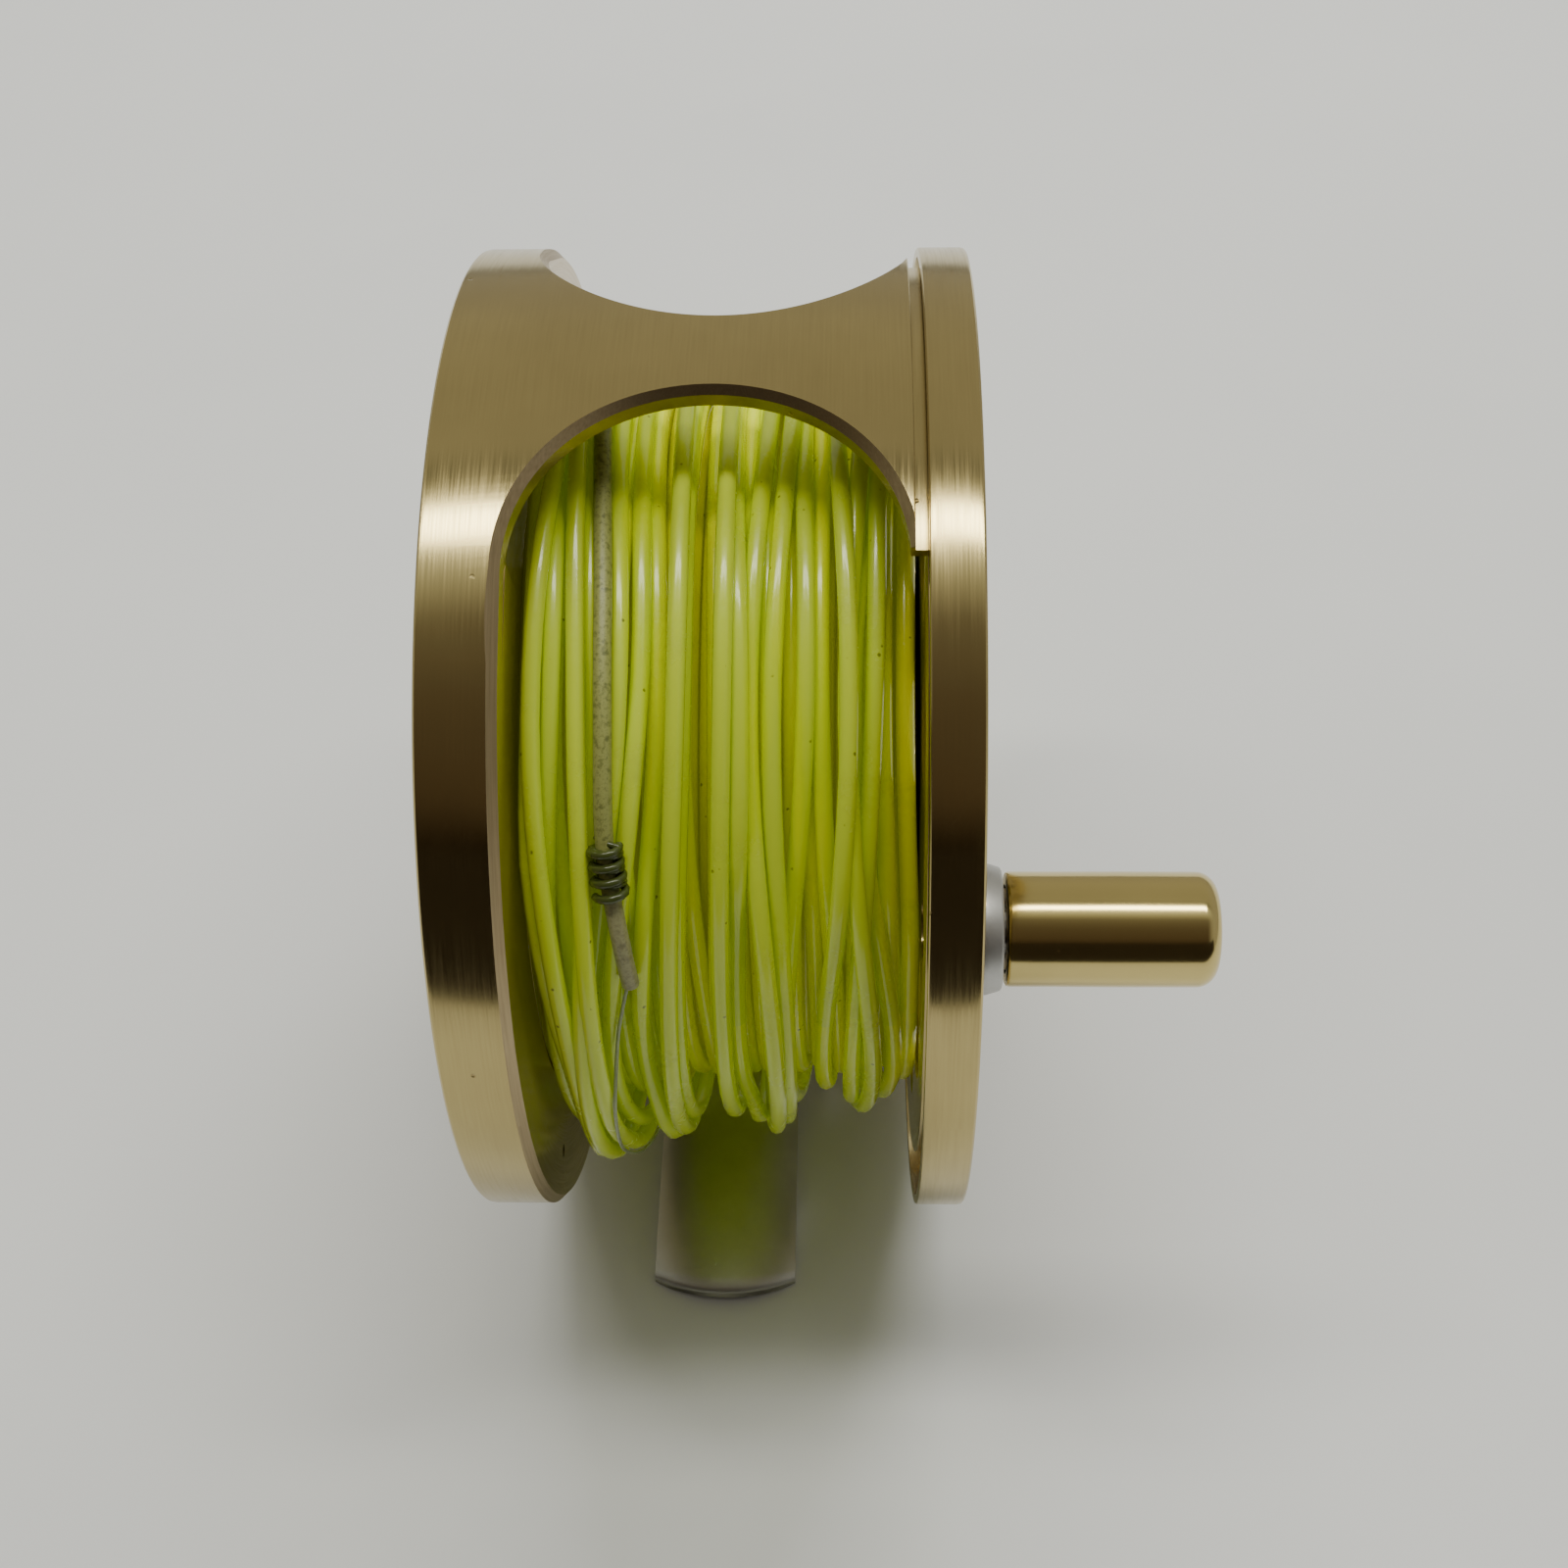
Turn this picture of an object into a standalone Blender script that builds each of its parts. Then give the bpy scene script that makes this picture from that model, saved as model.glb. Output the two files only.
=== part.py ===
"""Fly-fishing reel on its reel foot, modelled piece by piece.

Every number below is in millimetres and is scaled to metres when a mesh is made.
Frame: X along the spool axis (+X towards the handle), Y away from the line exit, Z up.
Origin: the middle of the reel foot's underside, which is also the resting surface.
"""

from math import atan2, cos, degrees, pi, radians, sin, sqrt

import bmesh
import bpy
from mathutils import Vector

MM = 0.001
GAP = 0.3                     # clearance between pieces that touch

# ---- driving dimensions -------------------------------------------------------------
AXIS_Z = 47.5                 # height of the spool axis above the table
FRAME_R = 42.5                # outside radius of the frame
BAR_IN_R = 40.1               # inside radius of the two crossbars
BACK_X = -19.0                # outside face of the back plate
PLATE_IN_X = -16.4            # inside face of the back plate
RING_X = -12.95               # face of the back ring, where the windows begin
RING_IN_R = 32.1              # recess in the back ring for the spool's left flange
BAR_END_X = 16.9              # end of the crossbars' outside surface
LIP_END_X = 18.9              # end of the lip that enters the spool's groove
LIP_R = 41.3                  # outside radius of that lip
BACK_BOSS_R = 15.0            # plain boss round the drag knob
BACK_DISH_R = 37.5            # outside radius of the shallow dish in the back plate
BACK_DISH = 0.5               # depth of the dish

BORE_X = 1.85                 # centre of the bore that rounds off each window, along X
BORE_R = 14.85                # its radius: its left side is level with the ring's face
BORE_ANGLE = 62.8             # elevation of the bore's axis, degrees
HORN_END = 65.0               # elevation where a crossbar's end stops at the spool side
WINDOW_LOW = -80.0            # elevation of a window's lower end
LOW_CORNER_R = 6.0            # corner radius at the lower end

PORT_COUNT = 12
PORT_R = 4.0                  # radius of a drain port
BACK_PORT_RING_R = 26.5       # radius of the circle of ports in the back plate
SPOOL_PORT_RING_R = 29.0      # the same on the spool's front flange

RIM_R = 42.4                  # palming rim of the spool
RIM_LEFT_X = 17.9
RIM_RIGHT_X = 22.0
SKIRT_IN_R = 41.6             # inside radius of the rim's skirt
GROOVE_IN_R = 37.9            # inside radius of the groove beside the right flange
GROOVE_X = 20.0               # bottom of that groove
FACE_X = 20.6                 # front face of the spool inside its rim
LEFT_FLANGE_X = RING_X        # line side of the left flange, level with the ring's face
LEFT_FLANGE_T = 1.2
LEFT_FLANGE_R = RING_IN_R - 0.4
ARBOR_R = 14.5
ARBOR_IN_R = 13.0
HUB_R = 8.0
HUB_BORE_R = 5.3
HUB_LEFT_X = -2.0
WEB_X = 16.6                  # inside face of the web between hub and arbor
CAP_RECESS_R = 8.6
CAP_RECESS_X = 18.6

HANDLE_RADIUS = 31.0          # distance of the handle from the spool axis
HANDLE_ANGLE = 16.7           # its elevation towards the line exit side, degrees
COLLAR_END_X = 24.0
COLLAR_R = 5.25
COLLAR_END_R = 4.8
GRIP_R = 4.5
GRIP_END_X = 40.7
GRIP_NOSE = 1.6               # rounding of the grip's outer end

FOOT_LENGTH = 65.0
FOOT_WIDTH = 13.8
FOOT_END_T = 1.9              # thickness at the tips
FOOT_ROOT_T = 3.6             # thickness where the wings meet the middle block
FOOT_CROWN = 1.3              # how far the long edges lie below the middle line
FOOT_TIP_SAG = 2.0            # plan rounding of the tips
FOOT_BLOCK = 8.0              # half length of the middle block that carries the frame
FOOT_GROOVE = 0.7             # depth of the hollow under each wing
FOOT_PAD = 10.5               # half length of the flat middle of the underside
SCREW_Y = 4.6

SPINDLE_R = 3.0
LINE_LEFT_X = -12.4
LINE_RIGHT_X = 17.5
BACKING_OUT_R = 20.6
LINE_IN_R = 20.9
LINE_OUT_R = 33.0
LINE_SAG = 5.6                # how far the loose turns hang out at the lower front
LINE_SAG_ANGLE = -38.0
LEADER_R = 0.75

KNOB_R = 13.0
KNOB_LEFT_X = -24.8
KNOB_RIGHT_X = -19.4
SEGMENTS = 60                 # steps round the large turned pieces


# ---- scene and helpers --------------------------------------------------------------
def clear_scene():
    for thing in list(bpy.data.objects):
        bpy.data.objects.remove(thing, do_unlink=True)


def material(name, colour, roughness, metallic):
    made = bpy.data.materials.new(name)
    made.use_nodes = True
    shader = made.node_tree.nodes["Principled BSDF"]
    shader.inputs["Base Color"].default_value = (*colour, 1.0)
    shader.inputs["Roughness"].default_value = roughness
    shader.inputs["Metallic"].default_value = metallic
    made.diffuse_color = (*colour, 1.0)
    return made


def mesh_from(name, build):
    """Make a mesh in millimetres with build(bm), turn its faces outward, scale to metres."""
    bm = bmesh.new()
    build(bm)
    bmesh.ops.recalc_face_normals(bm, faces=bm.faces)
    bmesh.ops.scale(bm, vec=(MM, MM, MM), verts=bm.verts)
    mesh = bpy.data.meshes.new(name)
    bm.to_mesh(mesh)
    bm.free()
    mesh.shade_smooth()
    mesh.set_sharp_from_angle(angle=radians(32))
    return mesh


def place(name, mesh, finish=None, parent=None, at=(0, 0, 0), turn=0.0):
    """Put a mesh in the scene at a point in millimetres, turned about X by degrees."""
    piece = bpy.data.objects.new(name, mesh)
    bpy.context.scene.collection.objects.link(piece)
    piece.parent = parent
    piece.location = Vector(at) * MM
    piece.rotation_euler = (radians(turn), 0, 0)
    if finish:
        mesh.materials.clear()
        mesh.materials.append(finish)
    return piece


def empty(name, parent=None, at=(0, 0, 0)):
    made = bpy.data.objects.new(name, None)
    made.parent = parent
    made.location = Vector(at) * MM
    bpy.context.scene.collection.objects.link(made)
    return made


def cut(piece, name, mesh, at=(0, 0, 0), parent=None):
    """Subtract a mesh from a piece with a hidden cutter."""
    cutter = place(name, mesh, parent=parent, at=at)
    cutter.hide_render = True
    cutter.display_type = "WIRE"
    modifier = piece.modifiers.new(name, "BOOLEAN")
    modifier.operation = "DIFFERENCE"
    modifier.solver = "EXACT"
    modifier.object = cutter


def on_circle(radius, angle):
    """Y and Z of a point at an elevation, measured from the line exit side (-Y) upwards."""
    return -radius * cos(radians(angle)), radius * sin(radians(angle))


def lathe(bm, profile, segments=SEGMENTS, shape=None, centre=(0, 0)):
    """Turn a closed (x, r) profile about X. shape(r, angle) may change a radius."""
    rings = []
    for x, r in profile:
        if r == 0:
            rings.append([bm.verts.new((x, *centre))])
            continue
        ring = []
        for step in range(segments):
            angle = 360 * step / segments
            y, z = on_circle(shape(r, angle) if shape else r, angle)
            ring.append(bm.verts.new((x, centre[0] + y, centre[1] + z)))
        rings.append(ring)
    for first, second in zip(rings, rings[1:] + rings[:1]):
        for step in range(segments):
            after = (step + 1) % segments
            corners = [first[step % len(first)], first[after % len(first)],
                       second[after % len(second)], second[step % len(second)]]
            corners = [v for i, v in enumerate(corners) if v not in corners[:i]]
            if len(corners) > 2:
                bm.faces.new(corners)


def turned(name, profile, segments=SEGMENTS, shape=None):
    return mesh_from(name, lambda bm: lathe(bm, profile, segments, shape))


def rods(name, centres, x0, x1, radius, segments=16):
    """Several plain round rods along X, at (y, z) centres."""
    profile = [(x0, 0), (x0, radius), (x1, radius), (x1, 0)]

    def build(bm):
        for centre in centres:
            lathe(bm, profile, segments, centre=centre)
    return mesh_from(name, build)


def ring_profile(x0, x1, r_in, r_out):
    return [(x0, r_out), (x1, r_out), (x1, r_in), (x0, r_in)]


def loft(bm, sections):
    """Join closed loops of points into a solid with capped ends."""
    rows = [[bm.verts.new(point) for point in section] for section in sections]
    count = len(rows[0])
    for first, second in zip(rows, rows[1:]):
        for i in range(count):
            j = (i + 1) % count
            bm.faces.new((first[i], first[j], second[j], second[i]))
    bm.faces.new(rows[0])
    bm.faces.new(list(reversed(rows[-1])))


def extruded(name, outline, x0, x1):
    """A flat plate: a (y, z) outline pushed along X."""
    sections = [[(x, y, z) for y, z in outline] for x in (x0, x1)]
    return mesh_from(name, lambda bm: loft(bm, sections))


def tube(bm, points, radius, sides):
    """A round solid along a path, with flat ends."""
    sections = []
    side_dir = None
    for i, point in enumerate(points):
        ahead = points[min(i + 1, len(points) - 1)]
        behind = points[max(i - 1, 0)]
        tangent = (ahead - behind).normalized()
        if side_dir is None:
            side_dir = tangent.orthogonal().normalized()
        side_dir = (side_dir - tangent * side_dir.dot(tangent)).normalized()
        up_dir = tangent.cross(side_dir)
        sections.append([point + (side_dir * cos(2 * pi * k / sides)
                                  + up_dir * sin(2 * pi * k / sides)) * radius
                         for k in range(sides)])
    loft(bm, sections)


# ---- the frame ----------------------------------------------------------------------
def frame_profile():
    return [(BACK_X, FRAME_R - 0.5), (BACK_X + 0.5, FRAME_R), (BAR_END_X, FRAME_R),
            (BAR_END_X, LIP_R), (LIP_END_X - 0.3, LIP_R), (LIP_END_X, LIP_R - 0.3),
            (LIP_END_X, BAR_IN_R), (RING_X, BAR_IN_R), (RING_X, RING_IN_R),
            (PLATE_IN_X, RING_IN_R), (PLATE_IN_X, SPINDLE_R + GAP),
            (BACK_X, SPINDLE_R + GAP), (BACK_X, BACK_BOSS_R),
            (BACK_X + BACK_DISH, BACK_BOSS_R + BACK_DISH),
            (BACK_X + BACK_DISH, BACK_DISH_R), (BACK_X, BACK_DISH_R + BACK_DISH)]


def window_left(angle):
    """Left edge of the straight part of a window at an elevation in degrees."""
    left = RING_X - 0.05
    drop = LOW_CORNER_R - radians(angle - WINDOW_LOW) * FRAME_R
    if drop > 0:
        left += LOW_CORNER_R - sqrt(max(0, LOW_CORNER_R ** 2 - drop ** 2))
    return left


def window_cutter(name, mirror):
    """A curved block with a bored upper end; mirror -1 is the rear window."""
    inner_r = BAR_IN_R - 0.2
    right = LIP_END_X + 8
    corner = [WINDOW_LOW + degrees(LOW_CORNER_R * (1 - cos(t * pi / 10)) / FRAME_R)
              for t in range(6)]
    sections = []
    for angle in corner + [-57 + 12 * i for i in range(10)]:
        inside = on_circle(inner_r, angle)
        outside = on_circle(52.0, angle)
        left = window_left(angle)
        sections.append([(left, *inside), (right, *inside), (right, *outside),
                         (left, *outside)])
    horn_turn = degrees(radians(HORN_END - BORE_ANGLE) * FRAME_R / BORE_R)
    for turn in (0, 4, horn_turn, horn_turn + 0.1, 14, 21, 28, 35, 42, 49, 56, 63, 70, 77, 84):
        reach = BORE_R * sin(radians(turn))
        half = BORE_R * cos(radians(turn))
        over_y, over_z = on_circle(reach, BORE_ANGLE + 90)
        in_y, in_z = on_circle(sqrt(inner_r ** 2 - reach ** 2), BORE_ANGLE)
        out_y, out_z = on_circle(52.0, BORE_ANGLE)
        end = right if turn <= horn_turn else BORE_X + half
        sections.append([(BORE_X - half, in_y + over_y, in_z + over_z),
                         (end, in_y + over_y, in_z + over_z),
                         (end, out_y + over_y, out_z + over_z),
                         (BORE_X - half, out_y + over_y, out_z + over_z)])
    sections = [[(x, mirror * y, z) for x, y, z in section] for section in sections]
    return mesh_from(name, lambda bm: loft(bm, sections))


def back_ports():
    return [on_circle(BACK_PORT_RING_R, 360 * (i + 0.5) / PORT_COUNT)
            for i in range(PORT_COUNT)]


def screw_hole_mesh(name, z0, z1, radius, cone_r=0.0, cone_h=0.0):
    """Two upright round cutters under the bottom crossbar, with an optional countersink."""
    def build(bm):
        for y in (-SCREW_Y, SCREW_Y):
            profile = [(z0, radius), (z1, radius)]
            if cone_r:
                profile = [(z0, cone_r), (cone_h, radius), (z1, radius)]
            rings = [[bm.verts.new((r * cos(2 * pi * k / 16), y + r * sin(2 * pi * k / 16), z))
                      for k in range(16)] for z, r in profile]
            for first, second in zip(rings, rings[1:]):
                for k in range(16):
                    n = (k + 1) % 16
                    bm.faces.new((first[k], first[n], second[n], second[k]))
            bm.faces.new(rings[0])
            bm.faces.new(list(reversed(rings[-1])))
    return mesh_from(name, build)


HOUSING_SCREWS = [on_circle(9.0, a) for a in (30, 150, 270)]
DETENT_PLACE = on_circle(8.6, 210)
PAWL_PIVOT = on_circle(20.4, 182)


def make_frame(finish):
    frame = place("frame", turned("frame", frame_profile()), finish, at=(0, 0, AXIS_Z))
    cut(frame, "front_window_cutter", window_cutter("front_window_cutter", 1),
        at=(0, 0, AXIS_Z))
    cut(frame, "rear_window_cutter", window_cutter("rear_window_cutter", -1),
        at=(0, 0, AXIS_Z))
    cut(frame, "back_port_cutter",
        rods("back_port_cutter", back_ports(), BACK_X - 2, PLATE_IN_X + 2, PORT_R),
        at=(0, 0, AXIS_Z))
    small = HOUSING_SCREWS + [PAWL_PIVOT]
    cut(frame, "plate_hole_cutter",
        rods("plate_hole_cutter", small, BACK_X - 2, PLATE_IN_X + 2, 1.3, 12),
        at=(0, 0, AXIS_Z))
    cut(frame, "detent_hole_cutter",
        rods("detent_hole_cutter", [DETENT_PLACE], BACK_X - 2, PLATE_IN_X + 2, 1.5, 12),
        at=(0, 0, AXIS_Z))
    cut(frame, "frame_screw_cutter", screw_hole_mesh("frame_screw_cutter", 3, 12, 1.7))
    return frame


# ---- the reel foot ------------------------------------------------------------------
def foot_section(y):
    """One closed cross-section of the foot at a distance y from the middle."""
    away = abs(y)
    half = FOOT_WIDTH / 2
    end = FOOT_LENGTH / 2
    along = min(1.0, max(0.0, (away - FOOT_BLOCK) / (end - FOOT_BLOCK)))
    blend = min(1.0, max(0.0, (away - FOOT_BLOCK) / 6.0))
    block_top = AXIS_Z - sqrt((FRAME_R + GAP) ** 2 - min(away, FOOT_BLOCK) ** 2)
    wing_top = FOOT_ROOT_T + (FOOT_END_T - FOOT_ROOT_T) * along ** 4
    top = block_top + (wing_top - block_top) * (3 * blend ** 2 - 2 * blend ** 3)
    crown = FOOT_CROWN * blend
    groove = FOOT_GROOVE if away > FOOT_PAD else 0.0
    across = [half * (i / 5 - 1) for i in range(11)]
    tip = FOOT_TIP_SAG * max(0.0, (away - (end - 6)) / 6)
    sign = 1 if y > 0 else -1
    section = []
    for x in across:
        inside = (x / half) ** 2
        lift = groove * max(0.0, 1 - (x / (half - 1.6)) ** 2)
        section.append((x, y - sign * tip * inside, lift))
    for x in reversed(across):
        inside = (x / half) ** 2
        section.append((x, y - sign * tip * inside, top - crown * inside))
    return section


def foot_stations():
    end = FOOT_LENGTH / 2
    half = [0.0, 3.0, 6.0, FOOT_BLOCK, 9.2, FOOT_PAD, FOOT_PAD + 0.1, 12.0, 14.0, 20.0,
            end - 6, end - 4, end - 2, end]
    return [-y for y in reversed(half[1:])] + half


def make_foot(finish, screw_finish):
    sections = [foot_section(y) for y in foot_stations()]
    foot = place("reel_foot", mesh_from("reel_foot", lambda bm: loft(bm, sections)), finish)
    cut(foot, "foot_screw_cutter",
        screw_hole_mesh("foot_screw_cutter", -0.5, 12, 1.7, cone_r=3.6, cone_h=1.9))

    profile = [(0.25, 0), (0.25, 2.75), (1.65, 1.4), (7.6, 1.4), (7.6, 0)]
    for name, y in (("foot_screw_front", -SCREW_Y), ("foot_screw_rear", SCREW_Y)):
        screw = place(name, turned(name, profile, 16), screw_finish, at=(0, y, 0))
        screw.rotation_euler = (0, -pi / 2, 0)


# ---- spool --------------------------------------------------------------------------
def spool_profile():
    return [(RIM_LEFT_X, RIM_R - 0.3), (RIM_LEFT_X + 0.3, RIM_R), (RIM_RIGHT_X - 0.4, RIM_R),
            (RIM_RIGHT_X, RIM_R - 0.4), (RIM_RIGHT_X, 38.7), (FACE_X, 38.0),
            (FACE_X, 12.6), (FACE_X + 0.8, 12.0), (FACE_X + 0.8, CAP_RECESS_R),
            (CAP_RECESS_X, CAP_RECESS_R), (CAP_RECESS_X, HUB_BORE_R),
            (HUB_LEFT_X, HUB_BORE_R), (HUB_LEFT_X, HUB_R), (WEB_X, HUB_R),
            (WEB_X, ARBOR_IN_R), (LEFT_FLANGE_X - LEFT_FLANGE_T, ARBOR_IN_R),
            (LEFT_FLANGE_X - LEFT_FLANGE_T, LEFT_FLANGE_R), (LEFT_FLANGE_X, LEFT_FLANGE_R),
            (LEFT_FLANGE_X, ARBOR_R), (RIM_LEFT_X, ARBOR_R), (RIM_LEFT_X, GROOVE_IN_R),
            (GROOVE_X, GROOVE_IN_R), (GROOVE_X, SKIRT_IN_R), (RIM_LEFT_X, SKIRT_IN_R)]


HANDLE_SPOT = on_circle(HANDLE_RADIUS, HANDLE_ANGLE)
WEIGHT_SPOT = on_circle(HANDLE_RADIUS, HANDLE_ANGLE + 180)


def spool_ports():
    """Ten ports on the front flange, clear of the handle and its counterweight."""
    return [on_circle(SPOOL_PORT_RING_R, HANDLE_ANGLE + 360 * i / PORT_COUNT)
            for i in range(PORT_COUNT) if i % (PORT_COUNT // 2)]


def make_spool(finish, parent):
    spool = place("spool", turned("spool", spool_profile()), finish, parent)
    cut(spool, "spool_port_cutter",
        rods("spool_port_cutter", spool_ports(), RIM_LEFT_X - 2, RIM_RIGHT_X + 2, PORT_R),
        parent=parent)
    cut(spool, "handle_hole_cutter",
        rods("handle_hole_cutter", [HANDLE_SPOT, WEIGHT_SPOT], RIM_LEFT_X - 2,
             RIM_RIGHT_X + 2, 2.3, 12), parent=parent)
    return spool


def line_radius(x, angle):
    """Outside radius of the wound line: loose turns hang out low at the front left."""
    across = (x - LINE_LEFT_X) / (LINE_RIGHT_X - LINE_LEFT_X)
    hang = max(0.0, cos(radians(angle - LINE_SAG_ANGLE))) ** 2
    return LINE_OUT_R - across + LINE_SAG * hang * (1 - across)


def make_line(finish, backing_finish, leader_finish, parent):
    place("backing_line",
          turned("backing_line", ring_profile(LINE_LEFT_X, LINE_RIGHT_X,
                                              ARBOR_R + GAP, BACKING_OUT_R), 48),
          backing_finish, parent)
    stations = [LINE_LEFT_X + (LINE_RIGHT_X - LINE_LEFT_X) * i / 5 for i in range(6)]
    count = 48

    def build(bm):
        rings = []
        for x in stations:
            rings.append([bm.verts.new((x, *on_circle(line_radius(x, 360 * k / count),
                                                      360 * k / count)))
                          for k in range(count)])
        for x in (LINE_RIGHT_X, LINE_LEFT_X):
            rings.append([bm.verts.new((x, *on_circle(LINE_IN_R, 360 * k / count)))
                          for k in range(count)])
        for first, second in zip(rings, rings[1:] + rings[:1]):
            for k in range(count):
                n = (k + 1) % count
                bm.faces.new((first[k], first[n], second[n], second[k]))
    place("fly_line", mesh_from("fly_line", build), finish, parent)

    points = []
    for i in range(31):
        angle = 96 - 126 * i / 30
        x = -6.3 + 0.3 * sin(radians(angle * 1.5))
        y, z = on_circle(line_radius(x, angle) + LEADER_R + GAP + 0.1, angle)
        points.append(Vector((x, y, z)))
    place("leader", mesh_from("leader", lambda bm: tube(bm, points, LEADER_R, 7)),
          leader_finish, parent)


# ---- handle -------------------------------------------------------------------------
def make_handle(gold, silver, steel, brass, spool_axis, handle_axis):
    y, z = HANDLE_SPOT
    collar = [(FACE_X + GAP, COLLAR_R), (RIM_RIGHT_X, COLLAR_R), (COLLAR_END_X, COLLAR_END_R),
              (COLLAR_END_X, 2.3), (FACE_X + GAP, 2.3)]
    place("handle_collar", turned("handle_collar", collar, 28), silver, spool_axis, (0, y, z))
    screw = [(RIM_LEFT_X + 0.3, 0), (RIM_LEFT_X + 0.3, 2.0), (28.0, 2.0), (28.0, 3.1),
             (29.6, 3.1), (29.6, 0)]
    place("handle_screw", turned("handle_screw", screw, 20), steel, spool_axis, (0, y, z))
    bush = ring_profile(COLLAR_END_X + GAP, 27.7, 2.3, 3.2)
    place("handle_bush", turned("handle_bush", bush, 20), brass, handle_axis)
    nose = [(GRIP_END_X - GRIP_NOSE + GRIP_NOSE * sin(t * pi / 10),
             GRIP_R - GRIP_NOSE + GRIP_NOSE * cos(t * pi / 10)) for t in range(6)]
    start = COLLAR_END_X + GAP
    grip = ([(start, GRIP_R - 0.3), (start + 0.3, GRIP_R)] + nose
            + [(GRIP_END_X, 0), (36.0, 0), (35.0, 3.5), (start, 3.5)])
    place("handle_grip", turned("handle_grip", grip, 28), gold, handle_axis)
    wy, wz = WEIGHT_SPOT
    weight = [(RIM_LEFT_X + 0.3, 0), (RIM_LEFT_X + 0.3, 2.0), (FACE_X + GAP, 2.0),
              (FACE_X + GAP, 5.0), (RIM_RIGHT_X - 0.2, 5.0), (RIM_RIGHT_X + 0.2, 4.4),
              (RIM_RIGHT_X + 0.2, 0)]
    place("counterweight", turned("counterweight", weight, 24), silver, spool_axis,
          (0, wy, wz))


# ---- spindle, bearings and the screwed cap -------------------------------------------
def bearing_profile(x):
    """A shielded ball bearing: two races with a shallow recess between them."""
    return [(x, 5.0), (x + 3.0, 5.0), (x + 3.0, 4.6), (x + 2.8, 4.5), (x + 2.8, 3.8),
            (x + 3.0, 3.7), (x + 3.0, 3.3), (x, 3.3), (x, 3.7), (x + 0.2, 3.8),
            (x + 0.2, 4.5), (x, 4.6)]


def make_spindle(steel, gold, spool_axis, cap_axis):
    spindle = [(-23.2, 0), (-23.2, 2.3), (-22.9, 2.6), (-19.6, 2.6), (-19.6, SPINDLE_R),
               (-6.5, SPINDLE_R), (-6.5, 4.6), (-5.3, 4.6), (-5.3, SPINDLE_R), (18.5, SPINDLE_R),
               (18.5, 2.4), (20.7, 2.4), (21.0, 2.1), (21.0, 0)]
    place("spindle", turned("spindle", spindle, 20), steel, at=(0, 0, AXIS_Z))
    place("bearing_inner", turned("bearing_inner", bearing_profile(0.1), 20), steel, spool_axis)
    place("bearing_outer", turned("bearing_outer", bearing_profile(15.3), 20), steel, spool_axis)
    spacer = ring_profile(3.4, 15.0, 3.3, 4.2)
    place("bearing_spacer", turned("bearing_spacer", spacer, 20), steel, at=(0, 0, AXIS_Z))

    def grooves(r, angle):
        return r - 0.35 * (0.5 - 0.5 * cos(radians(angle * 18))) if r > 7.6 else r
    cap = [(18.9, 0), (18.9, 8.0), (22.3, 8.0), (22.7, 7.5), (22.9, 6.5), (22.9, 0)]
    piece = place("spool_cap", turned("spool_cap", cap, 54, grooves), gold, cap_axis)
    cut(piece, "cap_thread_cutter",
        rods("cap_thread_cutter", [(0, 0)], 17.0, 21.3, 2.7, 16), parent=cap_axis)
    coin = [(-1.0, -5.2), (1.0, -5.2), (1.0, 5.2), (-1.0, 5.2)]
    cut(piece, "cap_slot_cutter", extruded("cap_slot_cutter", coin, 22.1, 24), parent=cap_axis)


# ---- the drag -----------------------------------------------------------------------
def make_drag(steel, black, silver, brass, cork, rubber, spool_axis):
    centre = (0, 0, AXIS_Z)
    housing = [(-16.1, 11.8), (-5.0, 11.8), (-5.0, 10.6), (-14.0, 10.6), (-14.0, 3.3),
               (-16.1, 3.3)]
    made = place("drag_housing", turned("drag_housing", housing, 36), silver, at=centre)
    cut(made, "housing_hole_cutter",
        rods("housing_hole_cutter", HOUSING_SCREWS, -17, -12, 1.3, 12), at=centre)

    screw = [(-18.9, 0), (-18.9, 1.0), (-14.3, 1.0), (-14.3, 0)]
    for number, (y, z) in enumerate(HOUSING_SCREWS, 1):
        name = f"housing_screw_{number}"
        place(name, turned(name, screw, 12), steel, at=(0, y, AXIS_Z + z))

    spring = [(-13.7, 3.4), (-13.1, 3.4), (-12.1, 9.9), (-12.7, 9.9)]
    place("spring_washer", turned("spring_washer", spring, 28), steel, at=centre)
    place("pressure_plate", turned("pressure_plate", ring_profile(-11.8, -10.9, 3.4, 10.2), 28),
          steel, at=centre)
    place("friction_disc_inner",
          turned("friction_disc_inner", ring_profile(-10.6, -9.4, 3.4, 10.2), 28), cork,
          at=centre)
    rotor = [(-9.1, 10.2), (-8.0, 10.2), (-8.0, 7.4), (-2.3, 7.4), (-2.3, 6.2), (-8.0, 6.2),
             (-8.0, 3.4), (-9.1, 3.4)]
    place("drag_rotor", turned("drag_rotor", rotor, 28), steel, spool_axis)
    place("friction_disc_outer",
          turned("friction_disc_outer", ring_profile(-7.7, -6.8, 3.4, 5.9), 20), black,
          at=centre)
    place("drag_seal", turned("drag_seal", ring_profile(-6.9, -5.3, 7.7, 10.3), 28), rubber,
          at=centre)
    place("one_way_clutch", turned("one_way_clutch", ring_profile(-4.6, -2.3, 4.7, 5.9), 20),
          black, spool_axis)
    race = [(-4.8, 4.4), (-1.8, 4.4), (-1.8, 5.0), (-0.2, 5.0), (-0.2, 3.3), (-4.8, 3.3)]
    place("clutch_race", turned("clutch_race", race, 20), steel, spool_axis)


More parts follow.
